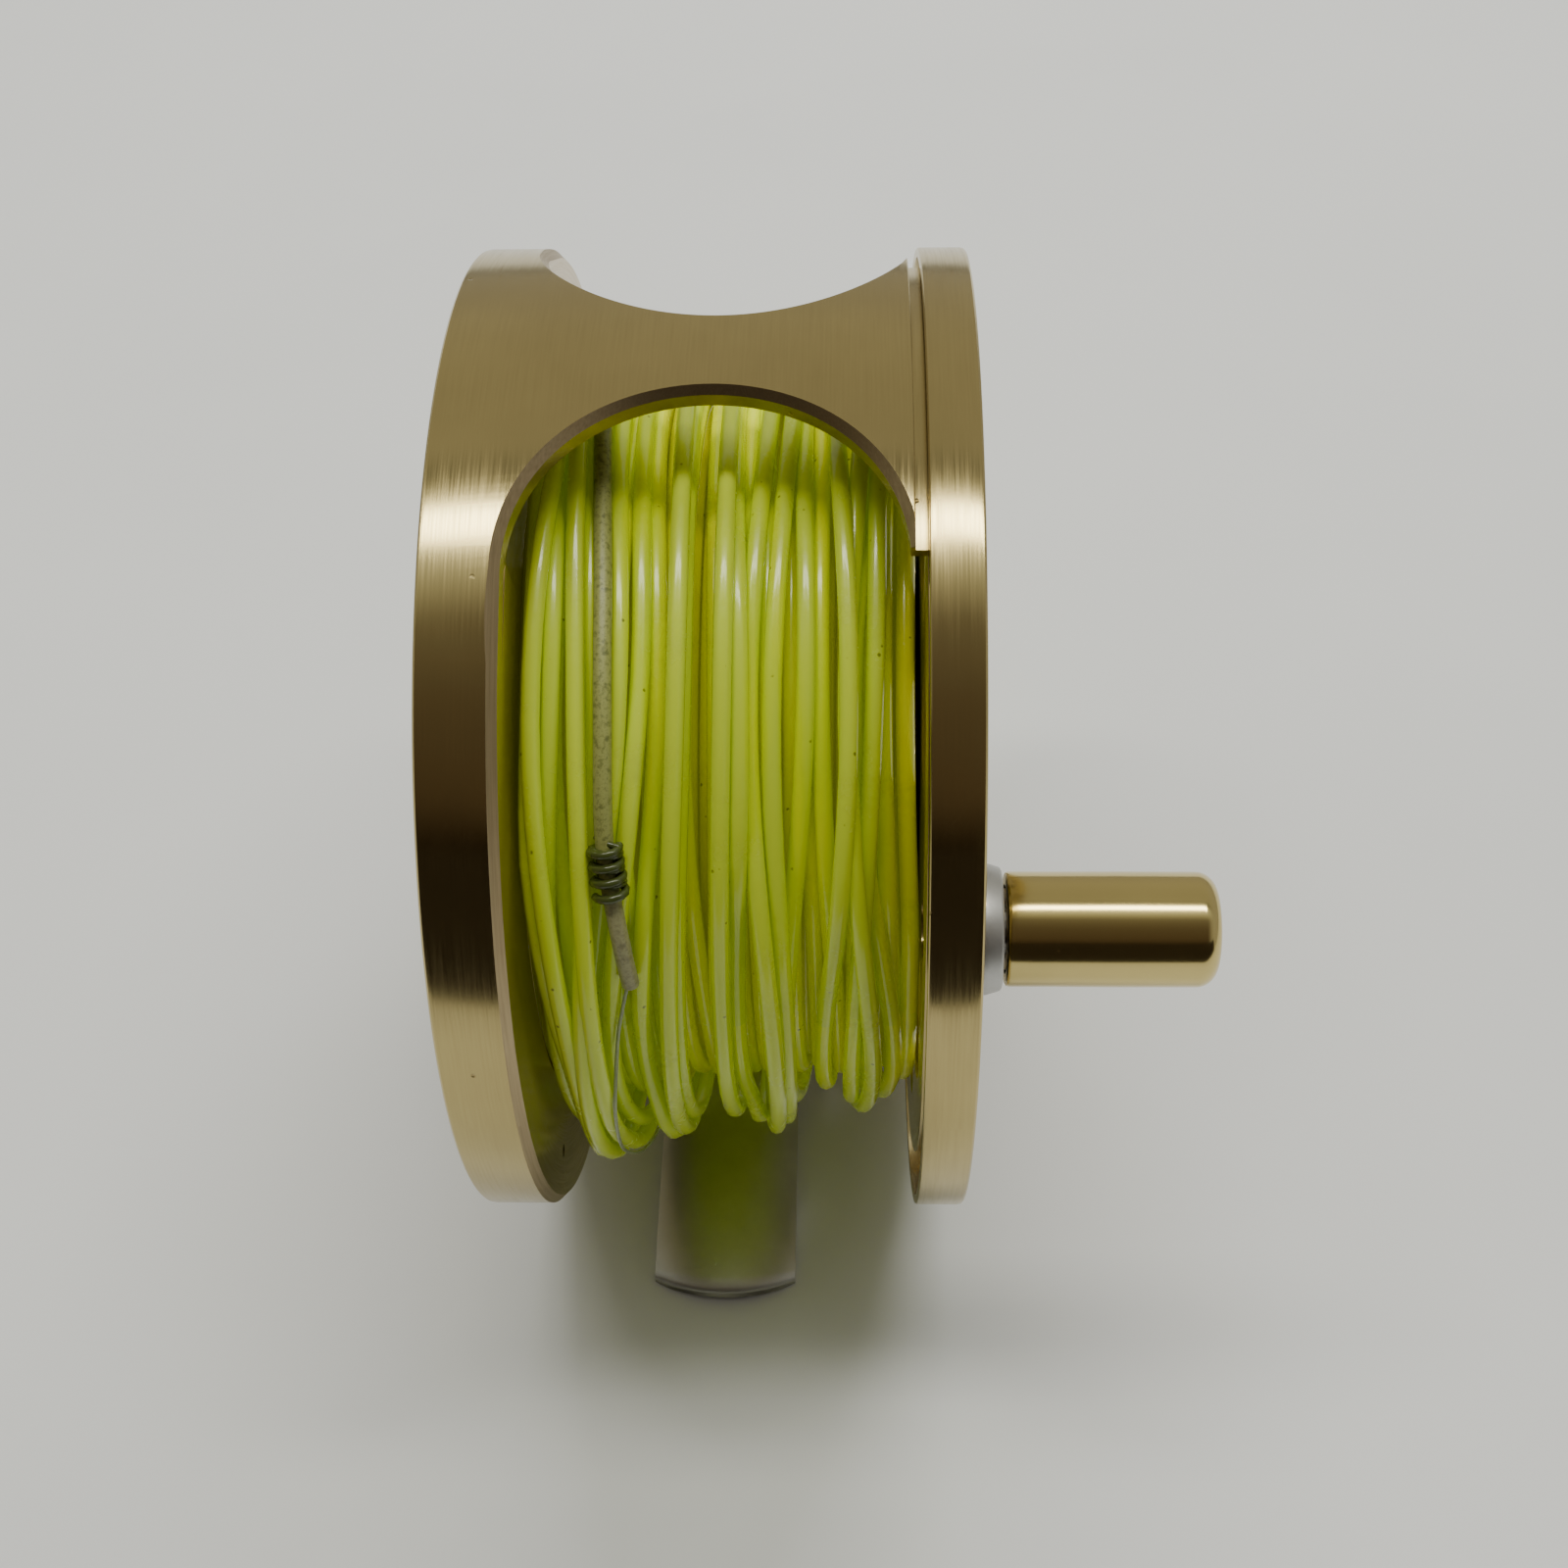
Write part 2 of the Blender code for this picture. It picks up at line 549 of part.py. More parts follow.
def make_knob(gold, brass, steel, knob_axis, plunger_axis):
    def scallops(r, angle):
        return r - 0.9 * (0.5 - 0.5 * cos(radians(angle * 12))) ** 2 if r > 11.8 else r
    knob = [(KNOB_RIGHT_X, KNOB_R), (KNOB_LEFT_X + 0.8, KNOB_R), (KNOB_LEFT_X, KNOB_R - 1.0),
            (KNOB_LEFT_X, 0), (-23.6, 0), (-23.6, 10.4), (-21.6, 10.4), (-21.6, 11.4),
            (KNOB_RIGHT_X, 11.4)]
    place("drag_knob", turned("drag_knob", knob, 60, scallops), gold, knob_axis)
    nut = ring_profile(-22.8, -20.6, 2.9, 5.5)
    place("tension_nut", turned("tension_nut", nut, 24), brass, knob_axis)
    y, z = DETENT_PLACE
    plunger = [(-21.1, 0), (-20.8, 0.6), (-20.3, 0.9), (-18.2, 0.9), (-18.2, 0)]
    place("detent_plunger", turned("detent_plunger", plunger, 16), steel, plunger_axis)
    track = ring_profile(-23.3, -21.9, 7.4, 9.8)
    place("detent_track", turned("detent_track", track, 36), steel, knob_axis)
    turns, steps, wire_r, coil_r = 3.5, 8, 0.14, 0.8
    points = []
    for i in range(int(turns * steps) + 1):
        angle = 2 * pi * i / steps
        x = -17.8 + 1.3 * i / (turns * steps)
        points.append(Vector((x, coil_r * cos(angle), coil_r * sin(angle))))
    place("detent_spring", mesh_from("detent_spring", lambda bm: tube(bm, points, wire_r, 5)),
          steel, at=(0, y, AXIS_Z + z))


# ---- the click ----------------------------------------------------------------------
CLICK_TIP_R = 15.6
CLICK_TEETH = 20


def click_tooth(r, angle):
    """Straight-sided teeth round the click gear's outside."""
    if r < CLICK_TIP_R:
        return r
    phase = round(angle * CLICK_TEETH * 4 / 360) % 4
    return r - 1.2 if phase > 1 else r


def pawl_outline():
    """The pawl about its pivot: a round eye with a blunt tip towards the spool axis."""
    back = [(1.9 * cos(radians(a)), 1.9 * sin(radians(a))) for a in range(60, 301, 30)]
    return [(4.4, 0.5), (1.4, 1.5)] + back + [(1.4, -1.5), (4.4, -0.5)]


def make_click(steel, brass, spool_axis, pawl_axis):
    gear = ring_profile(-15.5, -14.45, 13.4, CLICK_TIP_R)
    place("click_gear", turned("click_gear", gear, CLICK_TEETH * 4, click_tooth), brass,
          spool_axis)
    y, z = PAWL_PIVOT
    pawl = place("click_pawl", extruded("click_pawl", pawl_outline(), -16.0, -15.0), steel,
                 pawl_axis, turn=degrees(atan2(-z, -y)))
    cut(pawl, "pawl_eye_cutter", rods("pawl_eye_cutter", [(0, 0)], -17, -13, 1.25, 12),
        parent=pawl_axis)
    stud = [(-18.4, 0), (-18.4, 0.95), (-14.7, 0.95), (-14.7, 1.7), (-14.45, 1.7),
            (-14.45, 0)]
    place("pawl_pivot", turned("pawl_pivot", stud, 16), steel, at=(0, y, AXIS_Z + z))


# ---- the whole reel -----------------------------------------------------------------
def main():
    clear_scene()
    gold = material("anodised_gold", (0.60, 0.43, 0.22), 0.28, 1.0)
    bright_gold = material("polished_gold", (0.66, 0.46, 0.16), 0.2, 1.0)
    silver = material("satin_silver", (0.62, 0.62, 0.60), 0.42, 1.0)
    steel = material("stainless_steel", (0.56, 0.56, 0.57), 0.3, 1.0)
    brass = material("brass", (0.62, 0.45, 0.20), 0.35, 1.0)
    black = material("black_composite", (0.03, 0.03, 0.03), 0.6, 0.0)
    cork = material("cork", (0.45, 0.27, 0.13), 0.9, 0.0)
    rubber = material("nitrile_rubber", (0.02, 0.02, 0.02), 0.7, 0.0)
    line = material("chartreuse_line", (0.62, 0.80, 0.06), 0.35, 0.0)
    backing = material("white_backing", (0.80, 0.78, 0.70), 0.8, 0.0)
    leader = material("grey_leader", (0.40, 0.38, 0.22), 0.5, 0.0)

    spool_axis = empty("spool_axis", at=(0, 0, AXIS_Z))
    handle_axis = empty("handle_axis", spool_axis, (0, *HANDLE_SPOT))
    cap_axis = empty("cap_axis", at=(0, 0, AXIS_Z))
    knob_axis = empty("knob_axis", at=(0, 0, AXIS_Z))
    plunger_axis = empty("plunger_axis", at=(0, DETENT_PLACE[0], AXIS_Z + DETENT_PLACE[1]))
    pawl_axis = empty("pawl_axis", at=(0, PAWL_PIVOT[0], AXIS_Z + PAWL_PIVOT[1]))

    make_frame(gold)
    make_foot(silver, steel)
    make_spool(gold, spool_axis)
    make_line(line, backing, leader, spool_axis)
    make_handle(bright_gold, silver, steel, brass, spool_axis, handle_axis)
    make_spindle(steel, gold, spool_axis, cap_axis)
    make_drag(steel, black, silver, brass, cork, rubber, spool_axis)
    make_knob(gold, brass, steel, knob_axis, plunger_axis)
    make_click(steel, brass, spool_axis, pawl_axis)
    bpy.context.view_layer.update()


main()
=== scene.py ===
from math import asin, cos, degrees, pi, radians, sin, sqrt

import bmesh
import bpy
import numpy as np
from mathutils import Euler, Matrix, Vector


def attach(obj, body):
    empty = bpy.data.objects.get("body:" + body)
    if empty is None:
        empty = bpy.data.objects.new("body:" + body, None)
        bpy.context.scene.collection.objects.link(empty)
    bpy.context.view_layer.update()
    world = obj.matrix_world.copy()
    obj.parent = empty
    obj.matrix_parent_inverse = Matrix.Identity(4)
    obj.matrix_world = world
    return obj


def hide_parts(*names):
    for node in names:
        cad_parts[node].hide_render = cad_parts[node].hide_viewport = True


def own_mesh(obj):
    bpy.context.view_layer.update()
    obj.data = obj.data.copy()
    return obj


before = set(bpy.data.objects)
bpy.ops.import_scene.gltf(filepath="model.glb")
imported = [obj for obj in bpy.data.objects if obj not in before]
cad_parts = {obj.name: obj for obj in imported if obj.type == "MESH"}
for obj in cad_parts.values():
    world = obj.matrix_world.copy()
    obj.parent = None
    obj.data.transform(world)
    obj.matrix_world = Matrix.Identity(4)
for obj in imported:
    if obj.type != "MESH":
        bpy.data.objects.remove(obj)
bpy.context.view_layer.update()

# Lengths are in millimetres until a mesh is made. X runs along the spool axis, -Y is the
# side where the line leaves, Z is up, and angles are elevations seen from the -Y side.
MM = 0.001
AXIS_Z = 47.5
FRAME_R = 42.5
BAR_IN_R = 40.1
RING_X = -12.95               # inner face of the frame's left ring
BORE_X, BORE_R, BORE_ANGLE = 1.85, 14.85, 62.8    # the round arch that ends each window
HORN_END = 65.0               # angle where the arch's right side runs out at the spool
CUT_RIGHT = 27.0              # how far right the window cutters run
EDGE_BREAK = 0.7              # chamfer round the outside of each window
PORT_COUNT, PORT_R = 12, 4.0
BACK_PORT_RING_R, SPOOL_PORT_RING_R = 26.5, 29.0
HANDLE_RING_R, HANDLE_ANGLE = 31.0, 16.7
SCREW_YS = (-4.6, 4.6)        # the two foot screws
LINE_R = 0.75                 # half the thickness of the fly line
TURN_STEPS = 60


def on_circle(radius, angle):
    return -radius * cos(radians(angle)), radius * sin(radians(angle))


HANDLE_SPOT = on_circle(HANDLE_RING_R, HANDLE_ANGLE)
WEIGHT_SPOT = on_circle(HANDLE_RING_R, HANDLE_ANGLE + 180)
DETENT_SPOT = on_circle(8.6, 210)


# ---- camera --------------------------------------------------------------------------
def make_camera():
    data = bpy.data.cameras.new("camera")
    data.lens = 47.427
    data.sensor_width = 36
    data.clip_start = 0.01
    camera = bpy.data.objects.new("camera", data)
    bpy.context.scene.collection.objects.link(camera)
    rise = radians(47.0)
    away = 0.18837
    camera.location = (0.0121, -away * cos(rise), AXIS_Z * MM + away * sin(rise))
    aim = (Euler((pi / 2 - rise, 0, 0)).to_matrix() @ Matrix.Rotation(radians(1.786), 3, "Y")
           @ Matrix.Rotation(radians(-1.532), 3, "X"))
    camera.rotation_euler = aim.to_euler()
    bpy.context.scene.camera = camera


make_camera()


# ---- mesh helpers --------------------------------------------------------------------
def mesh_from(name, build, sharp=32):
    bm = bmesh.new()
    build(bm)
    bmesh.ops.recalc_face_normals(bm, faces=bm.faces)
    bmesh.ops.scale(bm, vec=(MM, MM, MM), verts=bm.verts)
    mesh = bpy.data.meshes.new(name)
    bm.to_mesh(mesh)
    bm.free()
    mesh.shade_smooth()
    mesh.set_sharp_from_angle(angle=radians(sharp))
    return mesh


def place(name, mesh, finish, at=(0, 0, AXIS_Z)):
    made = bpy.data.objects.new(name, mesh)
    bpy.context.scene.collection.objects.link(made)
    made.location = Vector(at) * MM
    mesh.materials.clear()
    for one in finish if isinstance(finish, list) else [finish]:
        mesh.materials.append(one)
    return made


def lathe(bm, profile, segments, shape=None, centre=(0, 0)):
    """Turn a closed profile of (x, r) points about X. shape may change r by the angle."""
    rings = []
    for x, r in profile:
        if r == 0:
            rings.append([bm.verts.new((x, *centre))])
            continue
        ring = []
        for step in range(segments):
            angle = 360 * step / segments
            y, z = on_circle(shape(r, angle) if shape else r, angle)
            ring.append(bm.verts.new((x, centre[0] + y, centre[1] + z)))
        rings.append(ring)
    for first, second in zip(rings, rings[1:] + rings[:1]):
        for step in range(segments):
            after = (step + 1) % segments
            corners = [first[step % len(first)], first[after % len(first)],
                       second[after % len(second)], second[step % len(second)]]
            corners = [v for i, v in enumerate(corners) if v not in corners[:i]]
            if len(corners) > 2:
                bm.faces.new(corners)


def rounded(points, radii, steps=3):
    """A closed profile with each corner rounded off by its own radius."""
    made = []
    count = len(points)
    for i, (here, radius) in enumerate(zip(points, radii)):
        if radius == 0:
            made.append(here)
            continue
        here = Vector(here)
        before = (Vector(points[i - 1]) - here).normalized()
        after = (Vector(points[(i + 1) % count]) - here).normalized()
        for step in range(steps + 1):
            t = step / steps
            point = here + before * radius * (1 - t) ** 2 + after * radius * t ** 2
            made.append(tuple(point))
    return made


def turned(name, profile, segments, shape=None):
    return mesh_from(name, lambda bm: lathe(bm, profile, segments, shape))


def rods(name, centres, x0, x1, radius, segments, break_edge=0.0, ends=()):
    """Round cutters along X. break_edge flares each one where it meets a face in ends."""
    profile = [(x0, 0), (x0, radius)]
    for x, way in ends:
        if way < 0:
            profile = [(x0, 0), (x0, radius + break_edge + x - x0), (x, radius + break_edge),
                       (x + break_edge, radius)]
    right = [(x1, radius), (x1, 0)]
    for x, way in ends:
        if way > 0:
            right = [(x - break_edge, radius), (x, radius + break_edge),
                     (x1, radius + break_edge + x1 - x), (x1, 0)]
    profile += right

    def build(bm):
        for centre in centres:
            lathe(bm, profile, segments, centre=centre)
    return mesh_from(name, build)


def loft(bm, sections):
    rows = [[bm.verts.new(point) for point in section] for section in sections]
    count = len(rows[0])
    for first, second in zip(rows, rows[1:]):
        for i in range(count):
            j = (i + 1) % count
            bm.faces.new((first[i], first[j], second[j], second[i]))
    bm.faces.new(rows[0])
    bm.faces.new(list(reversed(rows[-1])))


def screw_cutter(name, levels, sides):
    """Upright round cutters on the foot screws. levels holds heights and radii."""
    def build(bm):
        for y in SCREW_YS:
            loft(bm, [[(r * cos(2 * pi * k / sides), y + r * sin(2 * pi * k / sides), z)
                       for k in range(sides)] for z, r in levels])
    return mesh_from(name, build)


def carve(piece, cutters, sharp=30):
    """Subtract cutter meshes that share the piece's origin and make the result final."""
    made = []
    for number, mesh in enumerate(cutters):
        cutter = bpy.data.objects.new(f"cutter_{number}", mesh)
        cutter.location = piece.location
        bpy.context.scene.collection.objects.link(cutter)
        modifier = piece.modifiers.new(f"cut_{number}", "BOOLEAN")
        modifier.operation = "DIFFERENCE"
        modifier.solver = "EXACT"
        modifier.material_mode = "TRANSFER"
        modifier.object = cutter
        made.append(cutter)
    bpy.context.view_layer.update()
    graph = bpy.context.evaluated_depsgraph_get()
    result = bpy.data.meshes.new_from_object(piece.evaluated_get(graph))
    piece.modifiers.clear()
    piece.data = result
    result.shade_smooth()
    result.set_sharp_from_angle(angle=radians(sharp))
    for cutter in made:
        bpy.data.objects.remove(cutter, do_unlink=True)


# ---- material helpers ----------------------------------------------------------------
class Nodes:
    """Short ways to add shader nodes to a tree."""

    def __init__(self, tree):
        self.tree = tree

    def node(self, kind, **settings):
        made = self.tree.nodes.new(kind)
        for key, value in settings.items():
            setattr(made, key, value)
        return made

    def link(self, source, target):
        self.tree.links.new(source, target)

    def math(self, operation, *values):
        made = self.node("ShaderNodeMath", operation=operation)
        for i, value in enumerate(values):
            if isinstance(value, (int, float)):
                made.inputs[i].default_value = value
            else:
                self.link(value, made.inputs[i])
        return made.outputs[0]

    def span(self, value, low, high, out_low, out_high):
        made = self.node("ShaderNodeMapRange")
        for key, number in zip(("From Min", "From Max", "To Min", "To Max"),
                               (low, high, out_low, out_high)):
            made.inputs[key].default_value = number
        self.link(value, made.inputs["Value"])
        return made.outputs[0]

    def ramp(self, value, stops):
        made = self.node("ShaderNodeValToRGB")
        row = made.color_ramp.elements
        while len(row) < len(stops):
            row.new(0.5)
        for element, (position, colour) in zip(row, stops):
            element.position = position
            element.color = (*colour, 1.0)
        self.link(value, made.inputs["Fac"])
        return made.outputs["Color"]

    def mix(self, factor, first, second):
        made = self.node("ShaderNodeMix", data_type="RGBA")
        for socket, value in ((made.inputs[0], factor), (made.inputs[6], first),
                              (made.inputs[7], second)):
            if isinstance(value, tuple):
                socket.default_value = (*value, 1.0)
            elif isinstance(value, (int, float)):
                socket.default_value = value
            else:
                self.link(value, socket)
        return made.outputs[2]


class Finish(Nodes):
    """A material under construction, on a Principled shader and object coordinates."""

    def __init__(self, name, **sockets):
        self.material = bpy.data.materials.new(name)
        self.material.use_nodes = True
        super().__init__(self.material.node_tree)
        self.shader = self.tree.nodes["Principled BSDF"]
        for key, value in sockets.items():
            socket = self.shader.inputs[key.replace("_", " ")]
            socket.default_value = (*value, 1.0) if isinstance(value, tuple) else value
        self.coordinates = self.node("ShaderNodeTexCoord").outputs["Object"]

    def noise(self, scale, detail=3.0, rough=0.5, vector=None):
        made = self.node("ShaderNodeTexNoise")
        made.inputs["Scale"].default_value = scale
        made.inputs["Detail"].default_value = detail
        made.inputs["Roughness"].default_value = rough
        self.link(vector or self.coordinates, made.inputs["Vector"])
        return made.outputs["Fac"]

    def cells(self, scale):
        made = self.node("ShaderNodeTexVoronoi")
        made.inputs["Scale"].default_value = scale
        self.link(self.coordinates, made.inputs["Vector"])
        return made.outputs["Distance"]

    def polar(self, along=6000.0, turn=5.0, out=6000.0):
        """Coordinates that follow a lathe's cut: across X and radius fast, round slowly."""
        split = self.node("ShaderNodeSeparateXYZ")
        self.link(self.coordinates, split.inputs[0])
        x, y, z = split.outputs
        reach = self.math("SQRT", self.math("ADD", self.math("MULTIPLY", y, y),
                                            self.math("MULTIPLY", z, z)))
        join = self.node("ShaderNodeCombineXYZ")
        self.link(self.math("MULTIPLY", x, along), join.inputs[0])
        self.link(self.math("MULTIPLY", self.math("ARCTAN2", z, y), turn), join.inputs[1])
        self.link(self.math("MULTIPLY", reach, out), join.inputs[2])
        return join.outputs[0], reach

    def bump(self, height, distance, strength=1.0):
        made = self.node("ShaderNodeBump")
        made.inputs["Distance"].default_value = distance
        made.inputs["Strength"].default_value = strength
        before = self.shader.inputs["Normal"]
        if before.is_linked:
            self.link(before.links[0].from_socket, made.inputs["Normal"])
        self.link(height, made.inputs["Height"])
        self.link(made.outputs[0], before)

    def colour(self, socket):
        self.link(socket, self.shader.inputs["Base Color"])

    def rough(self, socket):
        self.link(socket, self.shader.inputs["Roughness"])


def turned_metal(name, tint, dark, rough, brush=1.0, dings=1.0, anisotropy=0.55):
    """Anodised or plain metal off a lathe: fine rings, faint grime, a few small dings."""
    made = Finish(name, Metallic=1.0, Anisotropic=anisotropy, Base_Color=tint)
    vector, _ = made.polar()
    rings = made.noise(1.0, 4.0, 0.6, vector)
    broad = made.noise(90.0, 3.0, 0.55)
    spots = made.cells(420.0)
    ding = made.math("MULTIPLY", made.span(spots, 0.05, 0.10, 1.0, 0.0),
                     made.span(made.noise(240.0, 1.0), 0.60, 0.64, 0.0, dings))
    pale = tuple(min(1.0, c * 1.12) for c in tint)
    base = made.ramp(broad, [(0.3, tint), (0.7, pale)])
    base = made.mix(made.span(rings, 0.35, 0.75, 0.0, 0.16 * brush), base, dark)
    base = made.mix(made.math("MULTIPLY", ding, 0.7), base, dark)
    made.colour(base)
    even = min(1.0, brush)
    made.rough(made.math("ADD", made.span(rings, 0.3, 0.7, rough - 0.05 * even,
                                          rough + 0.07 * even),
                         made.math("MULTIPLY", ding, 0.25)))
    made.bump(rings, 0.0000018 * brush, 0.6)
    made.bump(made.math("MULTIPLY", ding, -1.0), 0.00008, 0.7)
    if anisotropy:
        made.shader.inputs["Anisotropic Rotation"].default_value = 0.25
        tangent = made.node("ShaderNodeTangent", direction_type="RADIAL", axis="X")
        made.link(tangent.outputs[0], made.shader.inputs["Tangent"])
    return made.material


def blasted_metal(name, tint, rough, grain=2600.0):
    """Bead-blasted or tumbled metal: an even fine grain with faint wear."""
    made = Finish(name, Metallic=1.0, Base_Color=tint)
    fine = made.noise(grain, 3.0, 0.6)
    broad = made.noise(70.0, 4.0, 0.6)
    pale = tuple(min(1.0, c * 1.14) for c in tint)
    deep = tuple(c * 0.86 for c in tint)
    made.colour(made.ramp(broad, [(0.3, deep), (0.55, tint), (0.75, pale)]))
    made.rough(made.math("ADD", made.span(fine, 0.3, 0.7, rough - 0.05, rough + 0.05),
                         made.span(broad, 0.35, 0.7, -0.03, 0.04)))
    made.bump(fine, 0.00001, 0.5)
    return made.material


def plain_solid(name, first, second, rough, grain, depth):
    """A matt solid such as cork, rubber or a moulded composite."""
    made = Finish(name)
    fine = made.noise(grain, 5.0, 0.65)
    made.colour(made.ramp(fine, [(0.35, first), (0.65, second)]))
    made.rough(made.span(fine, 0.3, 0.7, rough - 0.08, rough + 0.06))
    made.bump(fine, depth, 0.8)
    return made.material


def line_finish():
    """Glossy PVC whose colour by radius is painted light: the outermost turns paler, the turns
    seen between them a deep yellow-green painted in for light bounced among the turns, the
    deepest turns painted darker as shade.
    """
    made = Finish("fly_line_pvc", Roughness=0.24, IOR=1.45)
    made.shader.inputs["Coat Weight"].default_value = 0.35
    made.shader.inputs["Coat Roughness"].default_value = 0.06
    made.shader.inputs["Subsurface Weight"].default_value = 0.12
    made.shader.inputs["Subsurface Radius"].default_value = (0.6, 0.9, 0.12)
    made.shader.inputs["Subsurface Scale"].default_value = 0.0009
    # Painted glow: a faint yellow-green emission makes the line give off light of its own, though
    # it is no lamp.
    made.shader.inputs["Emission Color"].default_value = (0.55, 0.68, 0.0, 1.0)
    made.shader.inputs["Emission Strength"].default_value = 0.045
    vector, reach = made.polar(520.0, 1.6, 300.0)
    drift = made.noise(1.0, 2.0, 0.5, vector)
    height = made.math("ADD", reach, made.span(drift, 0.3, 0.7, -0.0010, 0.0010))
    # Painted light by radius: the deepest turns painted darker as shade, the turns just under the
    # top a saturated yellow-green for bounced light, the outermost turns paler.
    shade = made.ramp(made.span(height, 0.0292, 0.0340, 0.0, 1.0), [
        (0.0, (0.66, 0.64, 0.0)), (0.42, (0.80, 0.84, 0.0)), (0.62, (0.70, 0.80, 0.0)),
        (0.8, (0.60, 0.73, 0.01)), (1.0, (0.57, 0.70, 0.04))])
    specks = made.math("MULTIPLY", made.span(made.cells(900.0), 0.10, 0.16, 1.0, 0.0),
                       made.span(made.noise(500.0, 1.0), 0.62, 0.66, 0.0, 1.0))
    grime = made.span(made.noise(160.0, 4.0, 0.7), 0.55, 0.8, 0.0, 0.25)
    shade = made.mix(grime, shade, (0.30, 0.33, 0.06))
    made.colour(made.mix(made.math("MULTIPLY", specks, 0.75), shade, (0.05, 0.05, 0.01)))
    made.rough(made.math("ADD", made.span(made.noise(1500.0), 0.3, 0.7, 0.18, 0.27),
                         made.math("MULTIPLY", grime, 0.7)))
    made.bump(made.noise(1400.0, 3.0), 0.00001, 0.4)
    return made.material


def leader_finish(name, pale, deep, rough, blotch):
    made = Finish(name, IOR=1.5)
    patches = made.noise(blotch, 5.0, 0.7)
    made.colour(made.ramp(patches, [(0.35, deep), (0.52, pale), (0.7, deep)]))
    made.rough(made.span(patches, 0.3, 0.7, rough, rough + 0.15))
    made.bump(made.noise(3000.0, 3.0), 0.00002, 0.6)
    return made.material


def mono_finish(name, tint, weight):
    made = Finish(name, IOR=1.52, Roughness=0.12)
    made.shader.inputs["Transmission Weight"].default_value = weight
    made.colour(made.mix(made.span(made.noise(1200.0), 0.35, 0.7, 0.0, 0.5), tint,
                         tuple(c * 0.6 for c in tint)))
    made.rough(made.span(made.noise(2500.0), 0.3, 0.7, 0.08, 0.2))
    return made.material


gold = turned_metal("champagne_anodised", (0.50, 0.405, 0.18), (0.24, 0.17, 0.07), 0.2,
                    anisotropy=0.7)
yellow_gold = turned_metal("handle_anodised", (0.58, 0.47, 0.19), (0.22, 0.14, 0.06), 0.15,
                           0.08, 1.6, 0.0)
ring_gold = turned_metal("ring_polished", (0.52, 0.40, 0.20), (0.28, 0.19, 0.09), 0.2)
edge_gold = turned_metal("machined_chamfer", (0.42, 0.33, 0.19), (0.14, 0.09, 0.05), 0.36,
                         2.2, 0.5, 0.0)
silver = blasted_metal("foot_satin", (0.52, 0.52, 0.47), 0.44)
collar_silver = blasted_metal("collar_blasted", (0.50, 0.50, 0.49), 0.42, 3600.0)
steel = turned_metal("steel_turned", (0.58, 0.58, 0.58), (0.3, 0.3, 0.3), 0.26)
brass = turned_metal("brass_turned", (0.70, 0.52, 0.22), (0.35, 0.22, 0.08), 0.3)
cork = plain_solid("cork_disc", (0.30, 0.17, 0.08), (0.52, 0.34, 0.18), 0.85, 900.0, 0.0001)
composite = plain_solid("composite_black", (0.015, 0.015, 0.016), (0.045, 0.045, 0.045),
                        0.55, 1500.0, 0.00003)
rubber = plain_solid("rubber_black", (0.012, 0.012, 0.012), (0.03, 0.03, 0.03), 0.7,
                     700.0, 0.00002)
backing = plain_solid("backing_braid", (0.62, 0.60, 0.52), (0.78, 0.77, 0.70), 0.7,
                      2400.0, 0.00012)
line_pvc = line_finish()
leader_grey = leader_finish("leader_coated", (0.34, 0.36, 0.11), (0.15, 0.165, 0.045), 0.3,
                            1500.0)
sleeve_tan = leader_finish("sleeve_worn", (0.36, 0.35, 0.17), (0.20, 0.19, 0.09), 0.35,
                           1100.0)
knot_mono = mono_finish("knot_dark_mono", (0.07, 0.09, 0.02), 0.1)
clear_mono = mono_finish("tippet_clear_mono", (0.55, 0.60, 0.40), 0.5)


